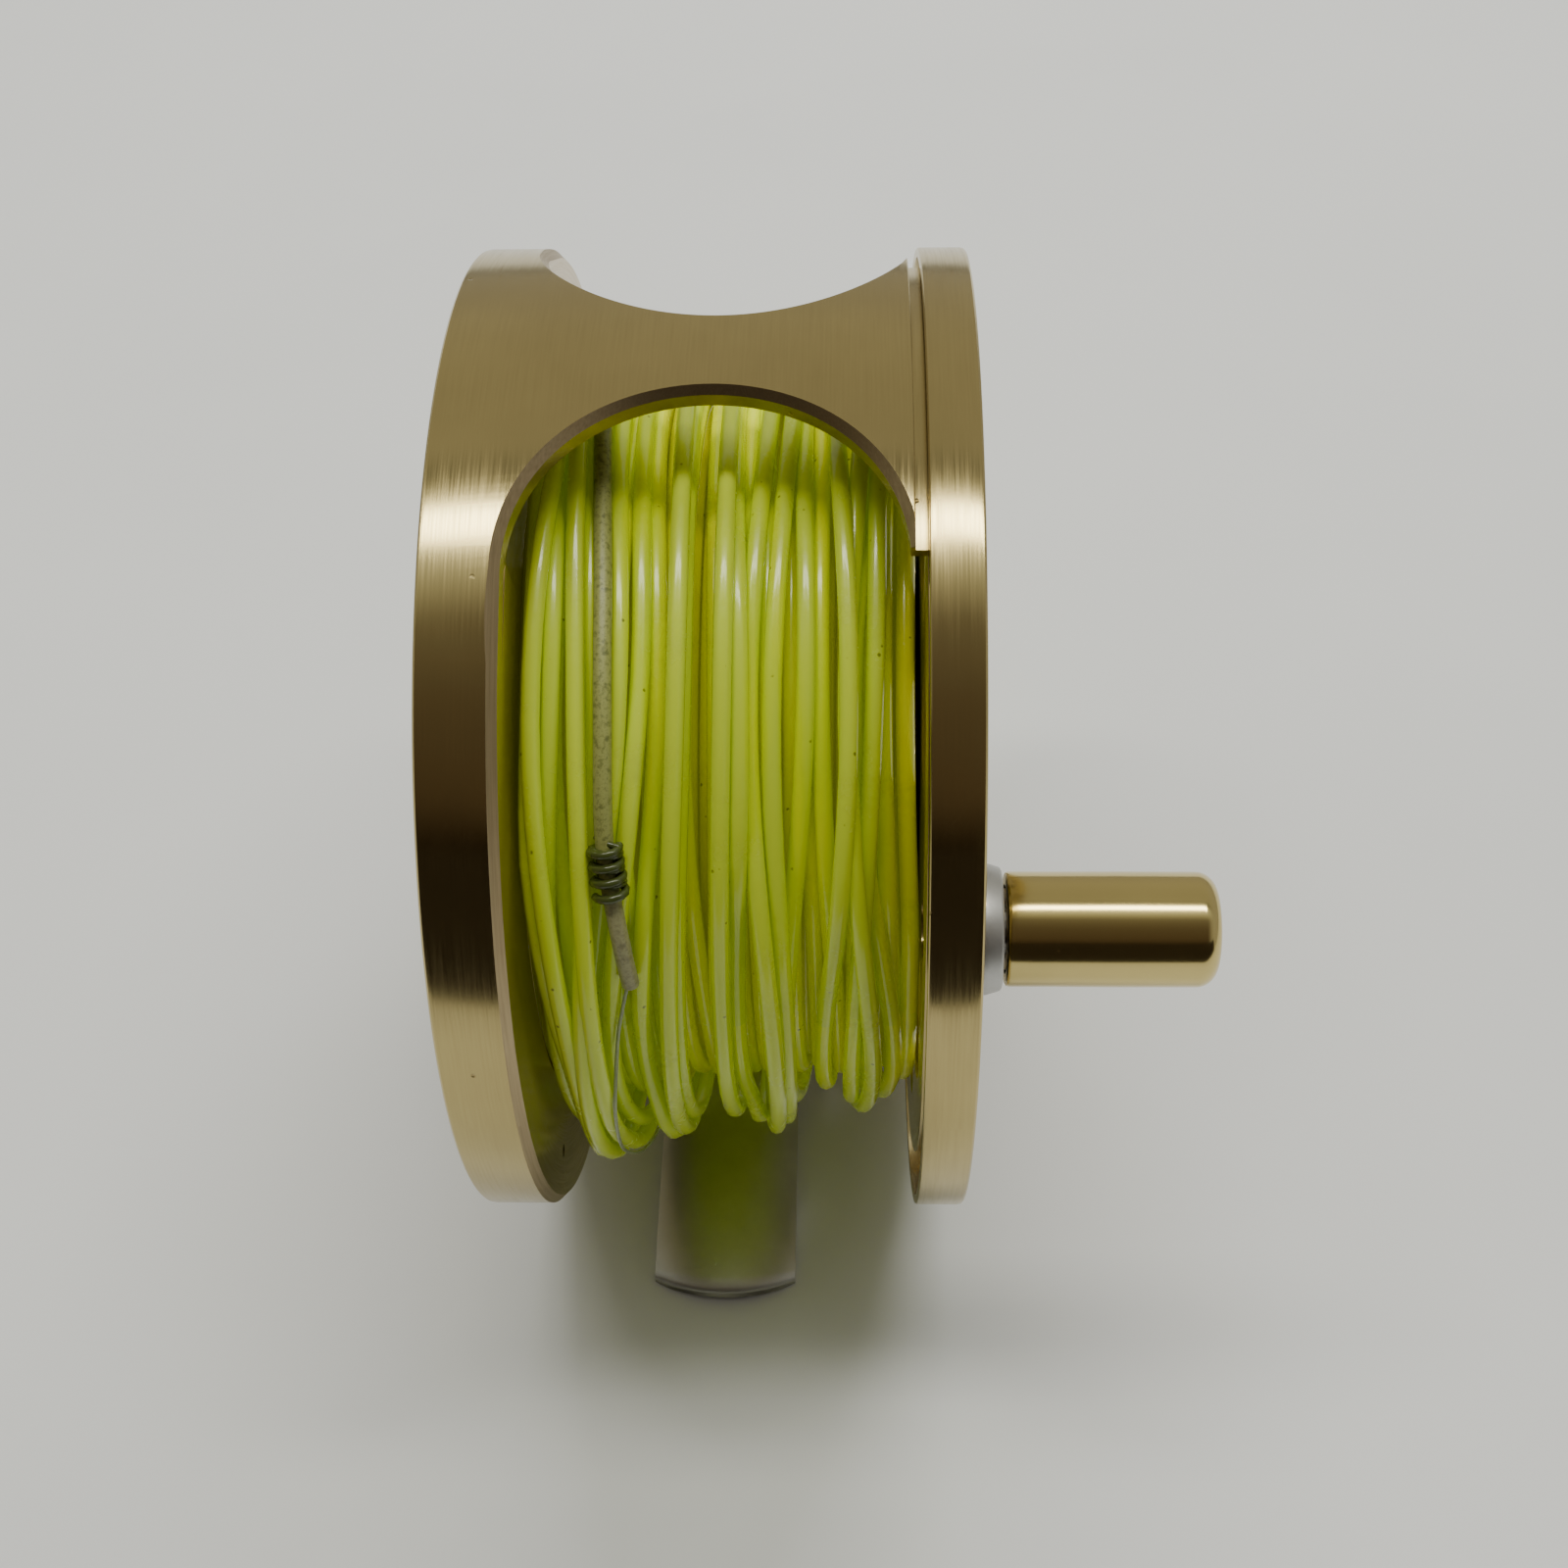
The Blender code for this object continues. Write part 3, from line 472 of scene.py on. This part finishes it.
# ---- frame ---------------------------------------------------------------------------
def window_cutter(name, mirror):
    """The window's outline pushed through the wall, wider where it breaks the outside edge."""
    levels = [(BAR_IN_R - 0.3, 0.0), (FRAME_R - EDGE_BREAK, 0.0), (FRAME_R, EDGE_BREAK),
              (FRAME_R + 2.0, EDGE_BREAK + 2.0)]
    low, corner_r = -80.0, 6.0
    rows = []

    def add(lefts, rights):
        rows.append([(x, mirror * y, z) for x, y, z in lefts + rights[::-1]])

    for turn in range(0, 91, 15):
        bend_x, bend_a = sin(radians(turn)), cos(radians(turn))
        sides = [(RING_X + corner_r - (corner_r + grow) * bend_x,
                  on_circle(r, low + degrees((corner_r - (corner_r + grow) * bend_a)
                                             / FRAME_R))) for r, grow in levels]
        add([(x, *spot) for x, spot in sides], [(CUT_RIGHT, *spot) for _, spot in sides])
    for step in range(58):
        spots = [(grow, on_circle(r, -66.5 + 2.1 * step)) for r, grow in levels]
        add([(RING_X - grow, *spot) for grow, spot in spots],
            [(CUT_RIGHT, *spot) for _, spot in spots])
    horn_turn = degrees(asin(radians(HORN_END - BORE_ANGLE) * FRAME_R / BORE_R))
    turns = [0.0, 3.0, horn_turn, horn_turn + 0.1] + [10.0 + 3.0 * i for i in range(27)]
    turns.append(90.0)
    for turn in turns:
        lefts, rights = [], []
        for r, grow in levels:
            size = BORE_R + grow
            over = size * sin(radians(turn))
            out_y, out_z = on_circle(sqrt(r * r - over * over), BORE_ANGLE)
            add_y, add_z = on_circle(over, BORE_ANGLE + 90)
            spot = (out_y + add_y, out_z + add_z)
            half = size * cos(radians(turn))
            lefts.append((BORE_X - half, *spot))
            rights.append((CUT_RIGHT if turn <= horn_turn else BORE_X + half, *spot))
        add(lefts, rights)

    def build(bm):
        loft(bm, rows)
        bm.faces.ensure_lookup_table()
        bm.faces.remove(bm.faces[-1])
        bmesh.ops.remove_doubles(bm, verts=bm.verts, dist=0.0005)

    mesh = mesh_from(name, build)
    mesh.materials.append(ring_gold)
    mesh.materials.append(edge_gold)
    for face in mesh.polygons:
        reach = [sqrt(mesh.vertices[i].co.y ** 2 + mesh.vertices[i].co.z ** 2) / MM
                 for i in face.vertices]
        face.material_index = 1 if len(reach) == 4 and max(reach) > FRAME_R - 0.3 else 0
    return mesh


def make_frame():
    profile = rounded(
        [(-19.0, FRAME_R), (16.9, FRAME_R), (16.9, 41.3), (18.9, 41.3), (18.9, BAR_IN_R),
         (RING_X, BAR_IN_R), (RING_X, 32.1), (-16.4, 32.1), (-16.4, 3.3), (-19.0, 3.3),
         (-19.0, 15.0), (-18.5, 15.5), (-18.5, 37.5), (-19.0, 38.0)],
        [0.5, 0.2, 0.1, 0.3, 0.1, 0.1, 0.2, 0.2, 0.1, 0.1, 0.1, 0.1, 0.1, 0.1])
    piece = place("frame_shell", turned("frame_shell", profile, 360), [gold, ring_gold])
    for face in piece.data.polygons:
        c = face.center / MM
        if abs(face.normal.x) > 0.9 and -13.2 < c.x < -12.5:
            face.material_index = 1
    ports = [on_circle(BACK_PORT_RING_R, 360 * (i + 0.5) / PORT_COUNT)
             for i in range(PORT_COUNT)]
    small = [on_circle(9.0, a) for a in (30, 150, 270)] + [on_circle(20.4, 182)]
    cutters = [window_cutter("front_window", 1), window_cutter("rear_window", -1),
               rods("ports", ports, -21, -14, PORT_R, 48, 0.35, ((-18.5, -1), (-16.4, 1))),
               rods("small_holes", small, -21, -14, 1.3, 24),
               rods("ring_hole", [on_circle(38.0, -31.0)], -14.6, -12.0, 0.55, 24),
               rods("detent_hole", [DETENT_SPOT], -21, -14, 1.5, 24),
               screw_cutter("screw_holes", [(z - AXIS_Z, 1.7) for z in (3, 12)], 24)]
    carve(piece, cutters)
    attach(piece, "frame_body")
    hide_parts("frame")


# ---- spool ---------------------------------------------------------------------------
def make_spool():
    profile = rounded(
        [(17.9, 42.4), (22.0, 42.4), (22.0, 38.7), (20.6, 38.0), (20.6, 12.6), (21.4, 12.0),
         (21.4, 8.6), (18.6, 8.6), (18.6, 5.3), (-2.0, 5.3), (-2.0, 8.0), (16.6, 8.0),
         (16.6, 13.0), (-14.15, 13.0), (-14.15, 31.7), (RING_X, 31.7), (RING_X, 14.5),
         (17.9, 14.5), (17.9, 37.9), (20.0, 37.9), (20.0, 41.6), (17.9, 41.6)],
        [0.25, 0.45, 0.2, 0.2, 0.2, 0.2, 0.2, 0.1, 0.1, 0.1, 0.1, 0.2, 0.2, 0.1, 0.25, 0.25,
         0.1, 0.1, 0.2, 0.1, 0.1, 0.15])
    piece = place("spool_body_turned", turned("spool_body_turned", profile, 360), gold)
    ports = [on_circle(SPOOL_PORT_RING_R, HANDLE_ANGLE + 360 * i / PORT_COUNT)
             for i in range(PORT_COUNT) if i % (PORT_COUNT // 2)]
    cutters = [rods("spool_ports", ports, 15, 24, PORT_R, 48, 0.35, ((17.9, -1), (20.6, 1))),
               rods("handle_holes", [HANDLE_SPOT, WEIGHT_SPOT], 15, 24, 2.3, 32)]
    carve(piece, cutters)
    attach(piece, "spool_body")
    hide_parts("spool")


# ---- handle, cap and drag knob ---------------------------------------------------------
def make_handle():
    y, z = HANDLE_SPOT
    at = (0, y, AXIS_Z + z)
    collar = rounded([(20.9, 5.25), (22.5, 5.25), (24.0, 4.8), (24.0, 2.3), (20.9, 2.3)],
                     [0.1, 0.5, 0.25, 0.1, 0.1], 4)
    piece = place("collar_turned", turned("collar_turned", collar, 120), collar_silver, at)
    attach(piece, "spool_body")
    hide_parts("handle_collar")

    end, radius, nose_r = 40.7, 4.5, 1.6
    nose = [(end - nose_r + nose_r * sin(t * pi / 24),
             radius - nose_r + nose_r * cos(t * pi / 24)) for t in range(13)]
    grip = ([(24.3, 4.25), (24.38, 4.42), (24.6, radius), (28.0, radius), (33.0, 4.52)]
            + nose + [(end, 1.2), (end, 0), (36.0, 0), (35.0, 3.5), (24.3, 3.5)])
    piece = place("grip_turned", turned("grip_turned", grip, 120), yellow_gold, at)
    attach(piece, "grip_body")
    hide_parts("handle_grip")


def make_cap_and_knob():
    def grooves(r, angle):
        return r - 0.35 * (0.5 - 0.5 * cos(radians(angle * 18))) if r > 7.6 else r
    cap = rounded([(18.9, 8.0), (22.7, 8.0), (22.9, 6.5), (22.9, 0), (21.3, 0), (21.3, 2.7),
                   (18.9, 2.7)], [0.2, 0.5, 0.2, 0, 0, 0.1, 0.1], 4)
    piece = place("cap_turned", turned("cap_turned", cap, 216, grooves), gold)
    coin = [[(x, y, z) for y, z in ((-1, -5.2), (1, -5.2), (1, 5.2), (-1, 5.2))]
            for x in (22.1, 24)]
    carve(piece, [mesh_from("coin_slot", lambda bm: loft(bm, coin))])
    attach(piece, "cap_body")
    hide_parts("spool_cap")

    def scallops(r, angle):
        depth = 0.9 * (0.5 - 0.5 * cos(radians(angle * 12))) ** 2
        return r - depth if r > 11.8 else r
    knob = rounded([(-19.4, 13.0), (-24.8, 13.0), (-24.8, 10.6), (-24.6, 9.8), (-24.6, 0),
                    (-23.6, 0), (-23.6, 10.4), (-21.6, 10.4), (-21.6, 11.4), (-19.4, 11.4)],
                   [0.3, 0.9, 0.2, 0.2, 0, 0, 0.2, 0.1, 0.1, 0.2], 5)
    piece = place("knob_turned", turned("knob_turned", knob, 288, scallops), gold)
    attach(piece, "knob_body")
    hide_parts("drag_knob")


def make_detent_spring():
    """The small coil behind the detent plunger, built at one fixed length; the real one shortens
    when the plunger is pressed.
    """
    spot = DETENT_SPOT
    wire, coil, turns, sides = 0.14, 0.8, 3.5, 10
    steps = int(turns * 24)
    rows = []
    for i in range(steps + 1):
        turn = 2 * pi * i / 24
        out = Vector((0, cos(turn), sin(turn)))
        rows.append([Vector((-17.8 + 1.3 * i / steps, 0, 0)) + out * coil
                     + (out * cos(2 * pi * k / sides)
                        + Vector((1, 0, 0)) * sin(2 * pi * k / sides)) * wire
                     for k in range(sides)])
    piece = place("detent_coil", mesh_from("detent_coil", lambda bm: loft(bm, rows)), steel,
                  (0, spot[0], AXIS_Z + spot[1]))
    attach(piece, "frame_body")
    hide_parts("detent_spring")
    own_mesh(piece)


# ---- reel foot -------------------------------------------------------------------------
def make_foot():
    length, width, block, pad = 65.0, 13.8, 8.0, 10.5
    half, end = width / 2, length / 2

    def section(y):
        away = abs(y)
        along = min(1.0, max(0.0, (away - block) / (end - block)))
        blend = min(1.0, max(0.0, (away - block) / 6.0))
        ease = 3 * blend ** 2 - 2 * blend ** 3
        block_top = AXIS_Z - sqrt((FRAME_R + 0.3) ** 2 - min(away, block) ** 2)
        top = block_top + (3.6 + (1.9 - 3.6) * along ** 4 - block_top) * ease
        groove = 0.7 * min(1.0, max(0.0, (away - pad) / 0.8))
        crown = 1.7 - 0.6 * along ** 4
        tip = 2.0 * max(0.0, (away - (end - 6)) / 6)
        sign = 1 if y > 0 else -1
        break_edge = 0.35 * max(0.0, 1 - (end - away) / 0.35) if end - away < 0.35 else 0.0
        across = [half * (i / 16 - 1) for i in range(33)]
        row = []
        for x in across:
            inside = (x / half) ** 2
            lift = groove * max(0.0, 1 - (x / (half - 1.6)) ** 2)
            row.append((x, y - sign * tip * inside, lift + break_edge * 0.4))
        for x in reversed(across):
            inside = (x / half) ** 2
            row.append((x, y - sign * tip * inside, top - crown * blend * inside - break_edge))
        return row
    steps = [0, 1.5, 3, 4.5, 6, 7, 8, 8.6, 9.2, 9.9, 10.5, 10.9, 11.3, 12, 13, 14, 15.5, 17,
             19, 21, 23, 25, 26.5, 28, 29, 30, 31, 32, 32.3, 32.5]
    rows = [section(y) for y in [-s for s in reversed(steps[1:])] + steps]
    piece = place("foot_shaped", mesh_from("foot_shaped", lambda bm: loft(bm, rows), 50),
                  silver, (0, 0, 0))
    levels = [(-0.5, 3.9), (1.9, 1.7), (12, 1.7)]
    carve(piece, [screw_cutter("foot_holes", levels, 32)], 40)
    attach(piece, "frame_body")
    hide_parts("reel_foot")


# ---- fly line --------------------------------------------------------------------------
LINE_LEFT, LINE_RIGHT, LINE_START_R = -12.75, 17.75, 20.7
LAYERS = 8                    # full layers, before the few turns of the last one
LAST_TURN_X = -7.0            # where the last, part layer stops
THICK = 2 * LINE_R - 0.04     # the spacing of strands that press on each other
SOFT_TOP_R = 35.6             # crossings are pressed down towards this radius
HANG, LEAN = 5.4, 1.5         # how far the slack turns hang down and lean right
HANG_SOFT_R, HANG_MORE = 37.0, 1.6    # no strand hangs past the sum of these
SHIFT_LEFT = 0.2
STEP_ANGLES = 150.0 - np.arange(TURN_STEPS) * 360.0 / TURN_STEPS


def smooth_noise(rng, count, waves):
    """Slow random wave along count steps with about one wave per 1/waves turns."""
    keys = int(count / TURN_STEPS * waves) + 4
    values = rng.uniform(-1, 1, keys)
    at = np.arange(count) / TURN_STEPS * waves
    base = at.astype(int)
    t = at - base
    t = t * t * (3 - 2 * t)
    return values[base] * (1 - t) + values[base + 1] * t


def wind_line():
    """Lay the line down turn by turn. Each turn rests on whatever lies under it."""
    rng = np.random.default_rng(41)
    left, right = LINE_LEFT + LINE_R, LINE_RIGHT - LINE_R
    x, layer = [], []
    position, way, level = left, 1, 0
    while level < LAYERS or position < LAST_TURN_X:
        for _ in range(TURN_STEPS):
            x.append(position)
            layer.append(level)
            spread = 1.035 if level < LAYERS - 1 else 1.16
            position += way * THICK * spread / TURN_STEPS
            if position > right or position < left:
                position = min(right, max(left, position))
                way, level = -way, level + 1
    x, layer, count = np.array(x), np.array(layer), len(x)
    wander = smooth_noise(rng, count, 3.1) * 0.45 + smooth_noise(rng, count, 1.5) * 0.75
    fall = smooth_noise(rng, count, 1.0)
    old_x = np.zeros((0, TURN_STEPS))
    old_r = np.zeros((0, TURN_STEPS))
    tail = np.full(3, LINE_START_R + LINE_R)
    ahead = np.radians(STEP_ANGLES - 20.0)
    bend = np.sin(1.6 * np.arctan2(np.sin(ahead), np.cos(ahead)))
    front = np.where(np.cos(ahead) > 0, np.cos(ahead) ** 2 * bend, 0.0)
    for turn in range(count // TURN_STEPS):
        part = slice(turn * TURN_STEPS, (turn + 1) * TURN_STEPS)
        loose = (0.05, 0.5, 1.6)[max(0, min(2, layer[part][0] - LAYERS + 3))]
        sway = front * rng.uniform(-1, 1) * loose * 1.9
        xs = np.clip(x[part] + wander[part] * loose + sway - SHIFT_LEFT, left, right)
        rs = np.full(TURN_STEPS, LINE_START_R + LINE_R)
        if len(old_x):
            gap = np.abs(old_x - xs)
            rest = old_r + np.sqrt(np.maximum(0, THICK ** 2 - gap ** 2))
            rest[gap >= THICK] = 0
            rs = np.maximum(rs, rest.max(axis=0))
        row = np.concatenate([tail, rs, rs[:3]])
        top = np.maximum.reduce([row[1:-1], row[:-2] - 0.05, row[2:] - 0.05])
        top = np.concatenate([row[:1], top, row[-1:]])
        for _ in range(2):
            top[1:-1] = 0.25 * top[:-2] + 0.5 * top[1:-1] + 0.25 * top[2:]
        rs = top[3:-3]
        old_x = np.vstack([old_x, xs])
        old_r = np.vstack([old_r, rs])
        tail = rs[-3:]
    slacken(old_x, old_r, layer[::TURN_STEPS], fall[::TURN_STEPS])
    return old_x, old_r


def slacken(old_x, old_r, layer, fall):
    """Let the top turns hang and lean at the lower left, where the line has come loose."""
    for turn in range(len(old_x)):
        depth = layer[len(old_x) - 1] - layer[turn]
        if depth > 2:
            continue
        across = (old_x[turn] - LINE_LEFT) / (LINE_RIGHT - LINE_LEFT)
        slack = (1.0, 0.8, 0.3)[depth] * (0.72 + 0.28 * fall[turn])
        hang = np.maximum(0.0, np.cos(np.radians(STEP_ANGLES + 38.0))) ** 2
        lean = np.maximum(0.0, np.cos(np.radians((STEP_ANGLES + 75.0) * 0.95))) ** 2
        lean[np.cos(np.radians(STEP_ANGLES + 75.0)) < 0] = 0
        far = old_r[turn]
        far = np.where(far > SOFT_TOP_R - 1, SOFT_TOP_R - np.exp(SOFT_TOP_R - 1 - far), far)
        far = far + HANG * slack * hang * (1 - across) ** 1.2
        over = HANG_MORE * (1 - np.exp((HANG_SOFT_R - far) / HANG_MORE))
        old_r[turn] = np.where(far > HANG_SOFT_R, HANG_SOFT_R + over, far)
        old_x[turn] = np.minimum(LINE_RIGHT - LINE_R,
                                 old_x[turn] + LEAN * slack * lean * (1 - across) ** 1.2)


def surface_radius(xs, rs, x, angle, reach):
    """How far out a strand of half thickness reach rests at x, on top of the wound line."""
    column = int(round((150.0 - angle) / (360.0 / TURN_STEPS))) % TURN_STEPS
    gap = np.abs(xs[:, column] - x)
    need = LINE_R + reach
    rest = rs[:, column] + np.sqrt(np.maximum(0, need ** 2 - gap ** 2))
    return float(rest[gap < need].max())


def curve_object(name, points, radius, finish, sides=3):
    data = bpy.data.curves.new(name, "CURVE")
    data.dimensions = "3D"
    data.bevel_depth = radius * MM
    data.bevel_resolution = sides
    data.use_fill_caps = True
    spline = data.splines.new("POLY")
    spline.points.add(len(points) - 1)
    flat = np.ones((len(points), 4))
    flat[:, :3] = np.asarray(points) * MM
    spline.points.foreach_set("co", flat.ravel())
    spline.use_smooth = True
    data.materials.append(finish)
    made = bpy.data.objects.new(name, data)
    made.location = (0, 0, AXIS_Z * MM)
    bpy.context.scene.collection.objects.link(made)
    return made


def make_line():
    xs, rs = wind_line()
    angle = np.radians(np.tile(STEP_ANGLES, len(xs)))
    flat_r = rs.ravel()
    points = np.stack([xs.ravel(), -flat_r * np.cos(angle), flat_r * np.sin(angle)], axis=1)
    line = curve_object("fly_line_wound", points, LINE_R, line_pvc)
    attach(line, "spool_body")
    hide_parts("fly_line")
    return xs, rs


def follow(xs, rs, route, reach, lift, steps):
    """A smoothed strand over the wound line, through stations of an angle and an x."""
    angles = np.array([a for a, _ in route])
    places = np.array([p for _, p in route])
    at = np.linspace(angles[0], angles[-1], steps)
    x = np.interp(-at, -angles, places)
    for _ in range(14):
        x[1:-1] = 0.25 * x[:-2] + 0.5 * x[1:-1] + 0.25 * x[2:]
    r = np.array([surface_radius(xs, rs, px, pa, reach) for px, pa in zip(x, at)])
    top = np.maximum.reduce([np.roll(r, shift) for shift in range(-2, 3)])
    top[:2], top[-2:] = r[:2], r[-2:]
    for _ in range(10):
        top[1:-1] = 0.25 * top[:-2] + 0.5 * top[1:-1] + 0.25 * top[2:]
    r = top + lift
    a = np.radians(at)
    return np.stack([x, -r * np.cos(a), r * np.sin(a)], axis=1)


def nail_knot_coil(centre):
    """The uneven wraps of the nail knot round the points in centre."""
    coil = []
    wraps, per = 6.5, 14
    for i in range(int(wraps * per) + 1):
        along = i / (wraps * per) * (len(centre) - 1)
        base = min(len(centre) - 2, int(along))
        spot = Vector(centre[base]).lerp(Vector(centre[base + 1]), along - base)
        ahead = (Vector(centre[base + 1]) - Vector(centre[base])).normalized()
        side = Vector((1, 0, 0)) - ahead * ahead.x
        side.normalize()
        up = ahead.cross(side)
        turn = 2 * pi * i / per
        reach = 1.08 + 0.12 * sin(i * 0.9) + 0.12 * sin(i * 0.23)
        coil.append(spot + (side * cos(turn) + up * sin(turn)) * reach
                    + ahead * (0.35 * sin(turn * 0.5) + 0.2 * sin(turn + 0.7)))
    return coil


def make_leader(xs, rs):
    joint = np.array([xs[-1, -1], *on_circle(rs[-1, -1], STEP_ANGLES[-1])])
    route = [(151, joint[0]), (130, -7.9), (100, -7.6), (86, -7.1), (65, -6.4), (47, -6.15),
             (33, -6.2), (28, -5.8), (20, -5.1), (13.5, -4.7)]
    points = np.vstack([joint, follow(xs, rs, route, LINE_R, 0.05, 142)])
    cut = 128                     # the point where the butt ends, under the knot
    upper = curve_object("leader_butt", points[:cut + 1], 0.72, leader_grey, 4)
    sleeve = curve_object("leader_sleeve", points[cut - 4:], 0.70, sleeve_tan, 4)
    thin_route = [(14.5, -4.75), (12, -5.0), (8, -5.7), (2, -6.3), (-8, -6.8), (-22, -7.0),
                  (-34, -6.6), (-48, -5.6)]
    thin = follow(xs, rs, thin_route, 0.16, 0.1, 60)
    tippet = curve_object("leader_tippet", thin, 0.16, clear_mono, 3)

    coil = nail_knot_coil(points[cut - 6:cut + 1])
    knot = curve_object("nail_knot", [tuple(p) for p in coil], 0.34, knot_mono, 3)
    first = coil[0]
    out = Vector((0, first.y, first.z)).normalized()
    tag_points = [tuple(first + Vector((-0.35 * i, 0, 0)) + out * (0.5 - 0.05 * i * i)
                        + Vector((0, 0, 0.12)) * i) for i in range(6)]
    tag = curve_object("knot_tag", tag_points, 0.26, knot_mono, 3)
    for piece in (upper, sleeve, tippet, knot, tag):
        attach(piece, "spool_body")
    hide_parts("leader")


wound_x, wound_r = make_line()
make_leader(wound_x, wound_r)
make_frame()
make_spool()
make_handle()
make_cap_and_knob()
make_detent_spring()
make_foot()

# ---- the CAD pieces that keep their own shape ------------------------------------------
FINISHES = {
    steel: ["spindle", "foot_screw_front", "foot_screw_rear", "housing_screw_1",
            "housing_screw_2", "housing_screw_3", "spring_washer", "pressure_plate",
            "drag_rotor", "bearing_inner", "bearing_outer", "bearing_spacer", "clutch_race",
            "detent_plunger", "detent_track", "click_pawl", "pawl_pivot",
            "handle_screw"],
    brass: ["click_gear", "handle_bush", "tension_nut"],
    silver: ["drag_housing", "counterweight"],
    cork: ["friction_disc_inner"],
    composite: ["friction_disc_outer", "one_way_clutch"],
    rubber: ["drag_seal"],
    backing: ["backing_line"],
}
for finish, names in FINISHES.items():
    for name in names:
        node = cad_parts[name]
        for filled in node.material_slots:
            filled.material = finish
        if not node.material_slots:
            node.data.materials.append(finish)


# ---- floor and light ---------------------------------------------------------------------
def flat_sheet(name, segments, size, finish):
    bm = bmesh.new()
    bmesh.ops.create_grid(bm, x_segments=segments, y_segments=segments, size=size)
    mesh = bpy.data.meshes.new(name)
    bm.to_mesh(mesh)
    bm.free()
    mesh.materials.append(finish)
    sheet = bpy.data.objects.new(name, mesh)
    bpy.context.scene.collection.objects.link(sheet)
    return sheet


def make_floor():
    made = Finish("floor_pale", Roughness=0.55)
    soft = made.noise(6.0, 4.0, 0.6)
    made.colour(made.ramp(soft, [(0.3, (0.665, 0.685, 0.69)), (0.7, (0.715, 0.735, 0.74))]))
    made.rough(made.span(made.noise(300.0), 0.3, 0.7, 0.5, 0.6))
    made.bump(made.noise(900.0, 3.0), 0.00002, 0.3)
    return flat_sheet("floor", 4, 8, made.material)


def make_card(name, at, size, tilt, tint):
    """A studio card that shows only in reflections."""
    made = Finish(name, Roughness=0.9)
    made.colour(made.ramp(made.noise(8.0), [(0.3, tint), (0.7, tuple(c * 1.4 for c in tint))]))
    card = flat_sheet(name, 2, 0.5, made.material)
    card.scale = (size[0], size[1], 1)
    card.location = at
    card.rotation_euler = (radians(tilt), 0, 0)
    card.visible_camera = card.visible_diffuse = card.visible_shadow = False
    return card


def area_light(name, at, size, power, colour, glossy=True):
    """A rectangular light that faces the reel."""
    data = bpy.data.lights.new(name, "AREA")
    data.shape = "RECTANGLE"
    data.size, data.size_y = size
    data.energy = power
    data.color = colour
    light = bpy.data.objects.new(name, data)
    light.location = at
    light.rotation_euler = (Vector((0, 0, 0.04)) - Vector(at)).to_track_quat("-Z", "Y").to_euler()
    light.visible_glossy = glossy
    bpy.context.scene.collection.objects.link(light)


def make_world():
    """Light by its angle about the spool axis, and a plain pale backdrop for the camera."""
    world = bpy.data.worlds.new("studio")
    world.use_nodes = True
    bpy.context.scene.world = world
    made = Nodes(world.node_tree)
    back = made.tree.nodes["Background"]
    split = made.node("ShaderNodeSeparateXYZ")
    made.link(made.node("ShaderNodeTexCoord").outputs["Generated"], split.inputs[0])
    x, y, z = split.outputs
    turn = made.math("ARCTAN2", z, made.math("MULTIPLY", y, -1.0))
    bands = made.ramp(made.math("DIVIDE", turn, pi), [
        (0.0, (0.008, 0.005, 0.003)), (0.11, (0.012, 0.008, 0.005)),
        (0.17, (0.095, 0.07, 0.05)), (0.30, (0.13, 0.105, 0.08)),
        (0.40, (0.20, 0.18, 0.145)), (0.48, (0.66, 0.67, 0.58)),
        (0.54, (0.66, 0.67, 0.58)), (0.585, (0.11, 0.11, 0.095)),
        (0.63, (0.40, 0.385, 0.32)), (0.85, (0.46, 0.44, 0.37)), (1.0, (0.4, 0.38, 0.33))])
    side = made.span(x, 0.45, 0.95, 0.0, 1.0)
    side.node.interpolation_type = "SMOOTHSTEP"
    light = made.mix(side, bands, (0.42, 0.41, 0.38))
    seen = made.node("ShaderNodeLightPath").outputs["Is Camera Ray"]
    made.link(made.mix(seen, light, (0.62, 0.63, 0.63)), back.inputs["Color"])
    back.inputs["Strength"].default_value = 1.0


floor = make_floor()
card = make_card("dark_card", (0, -0.225, 0.07), (0.8, 0.14), 90, (0.010, 0.006, 0.004))
area_light("overhead_strip", (0, 0.03, 0.70), (0.7, 0.08), 2.8, (1.0, 0.97, 0.88))
area_light("rear_softbox", (0.1, 0.75, 0.75), (0.9, 0.6), 9.6, (1.0, 0.98, 0.95), False)
make_world()
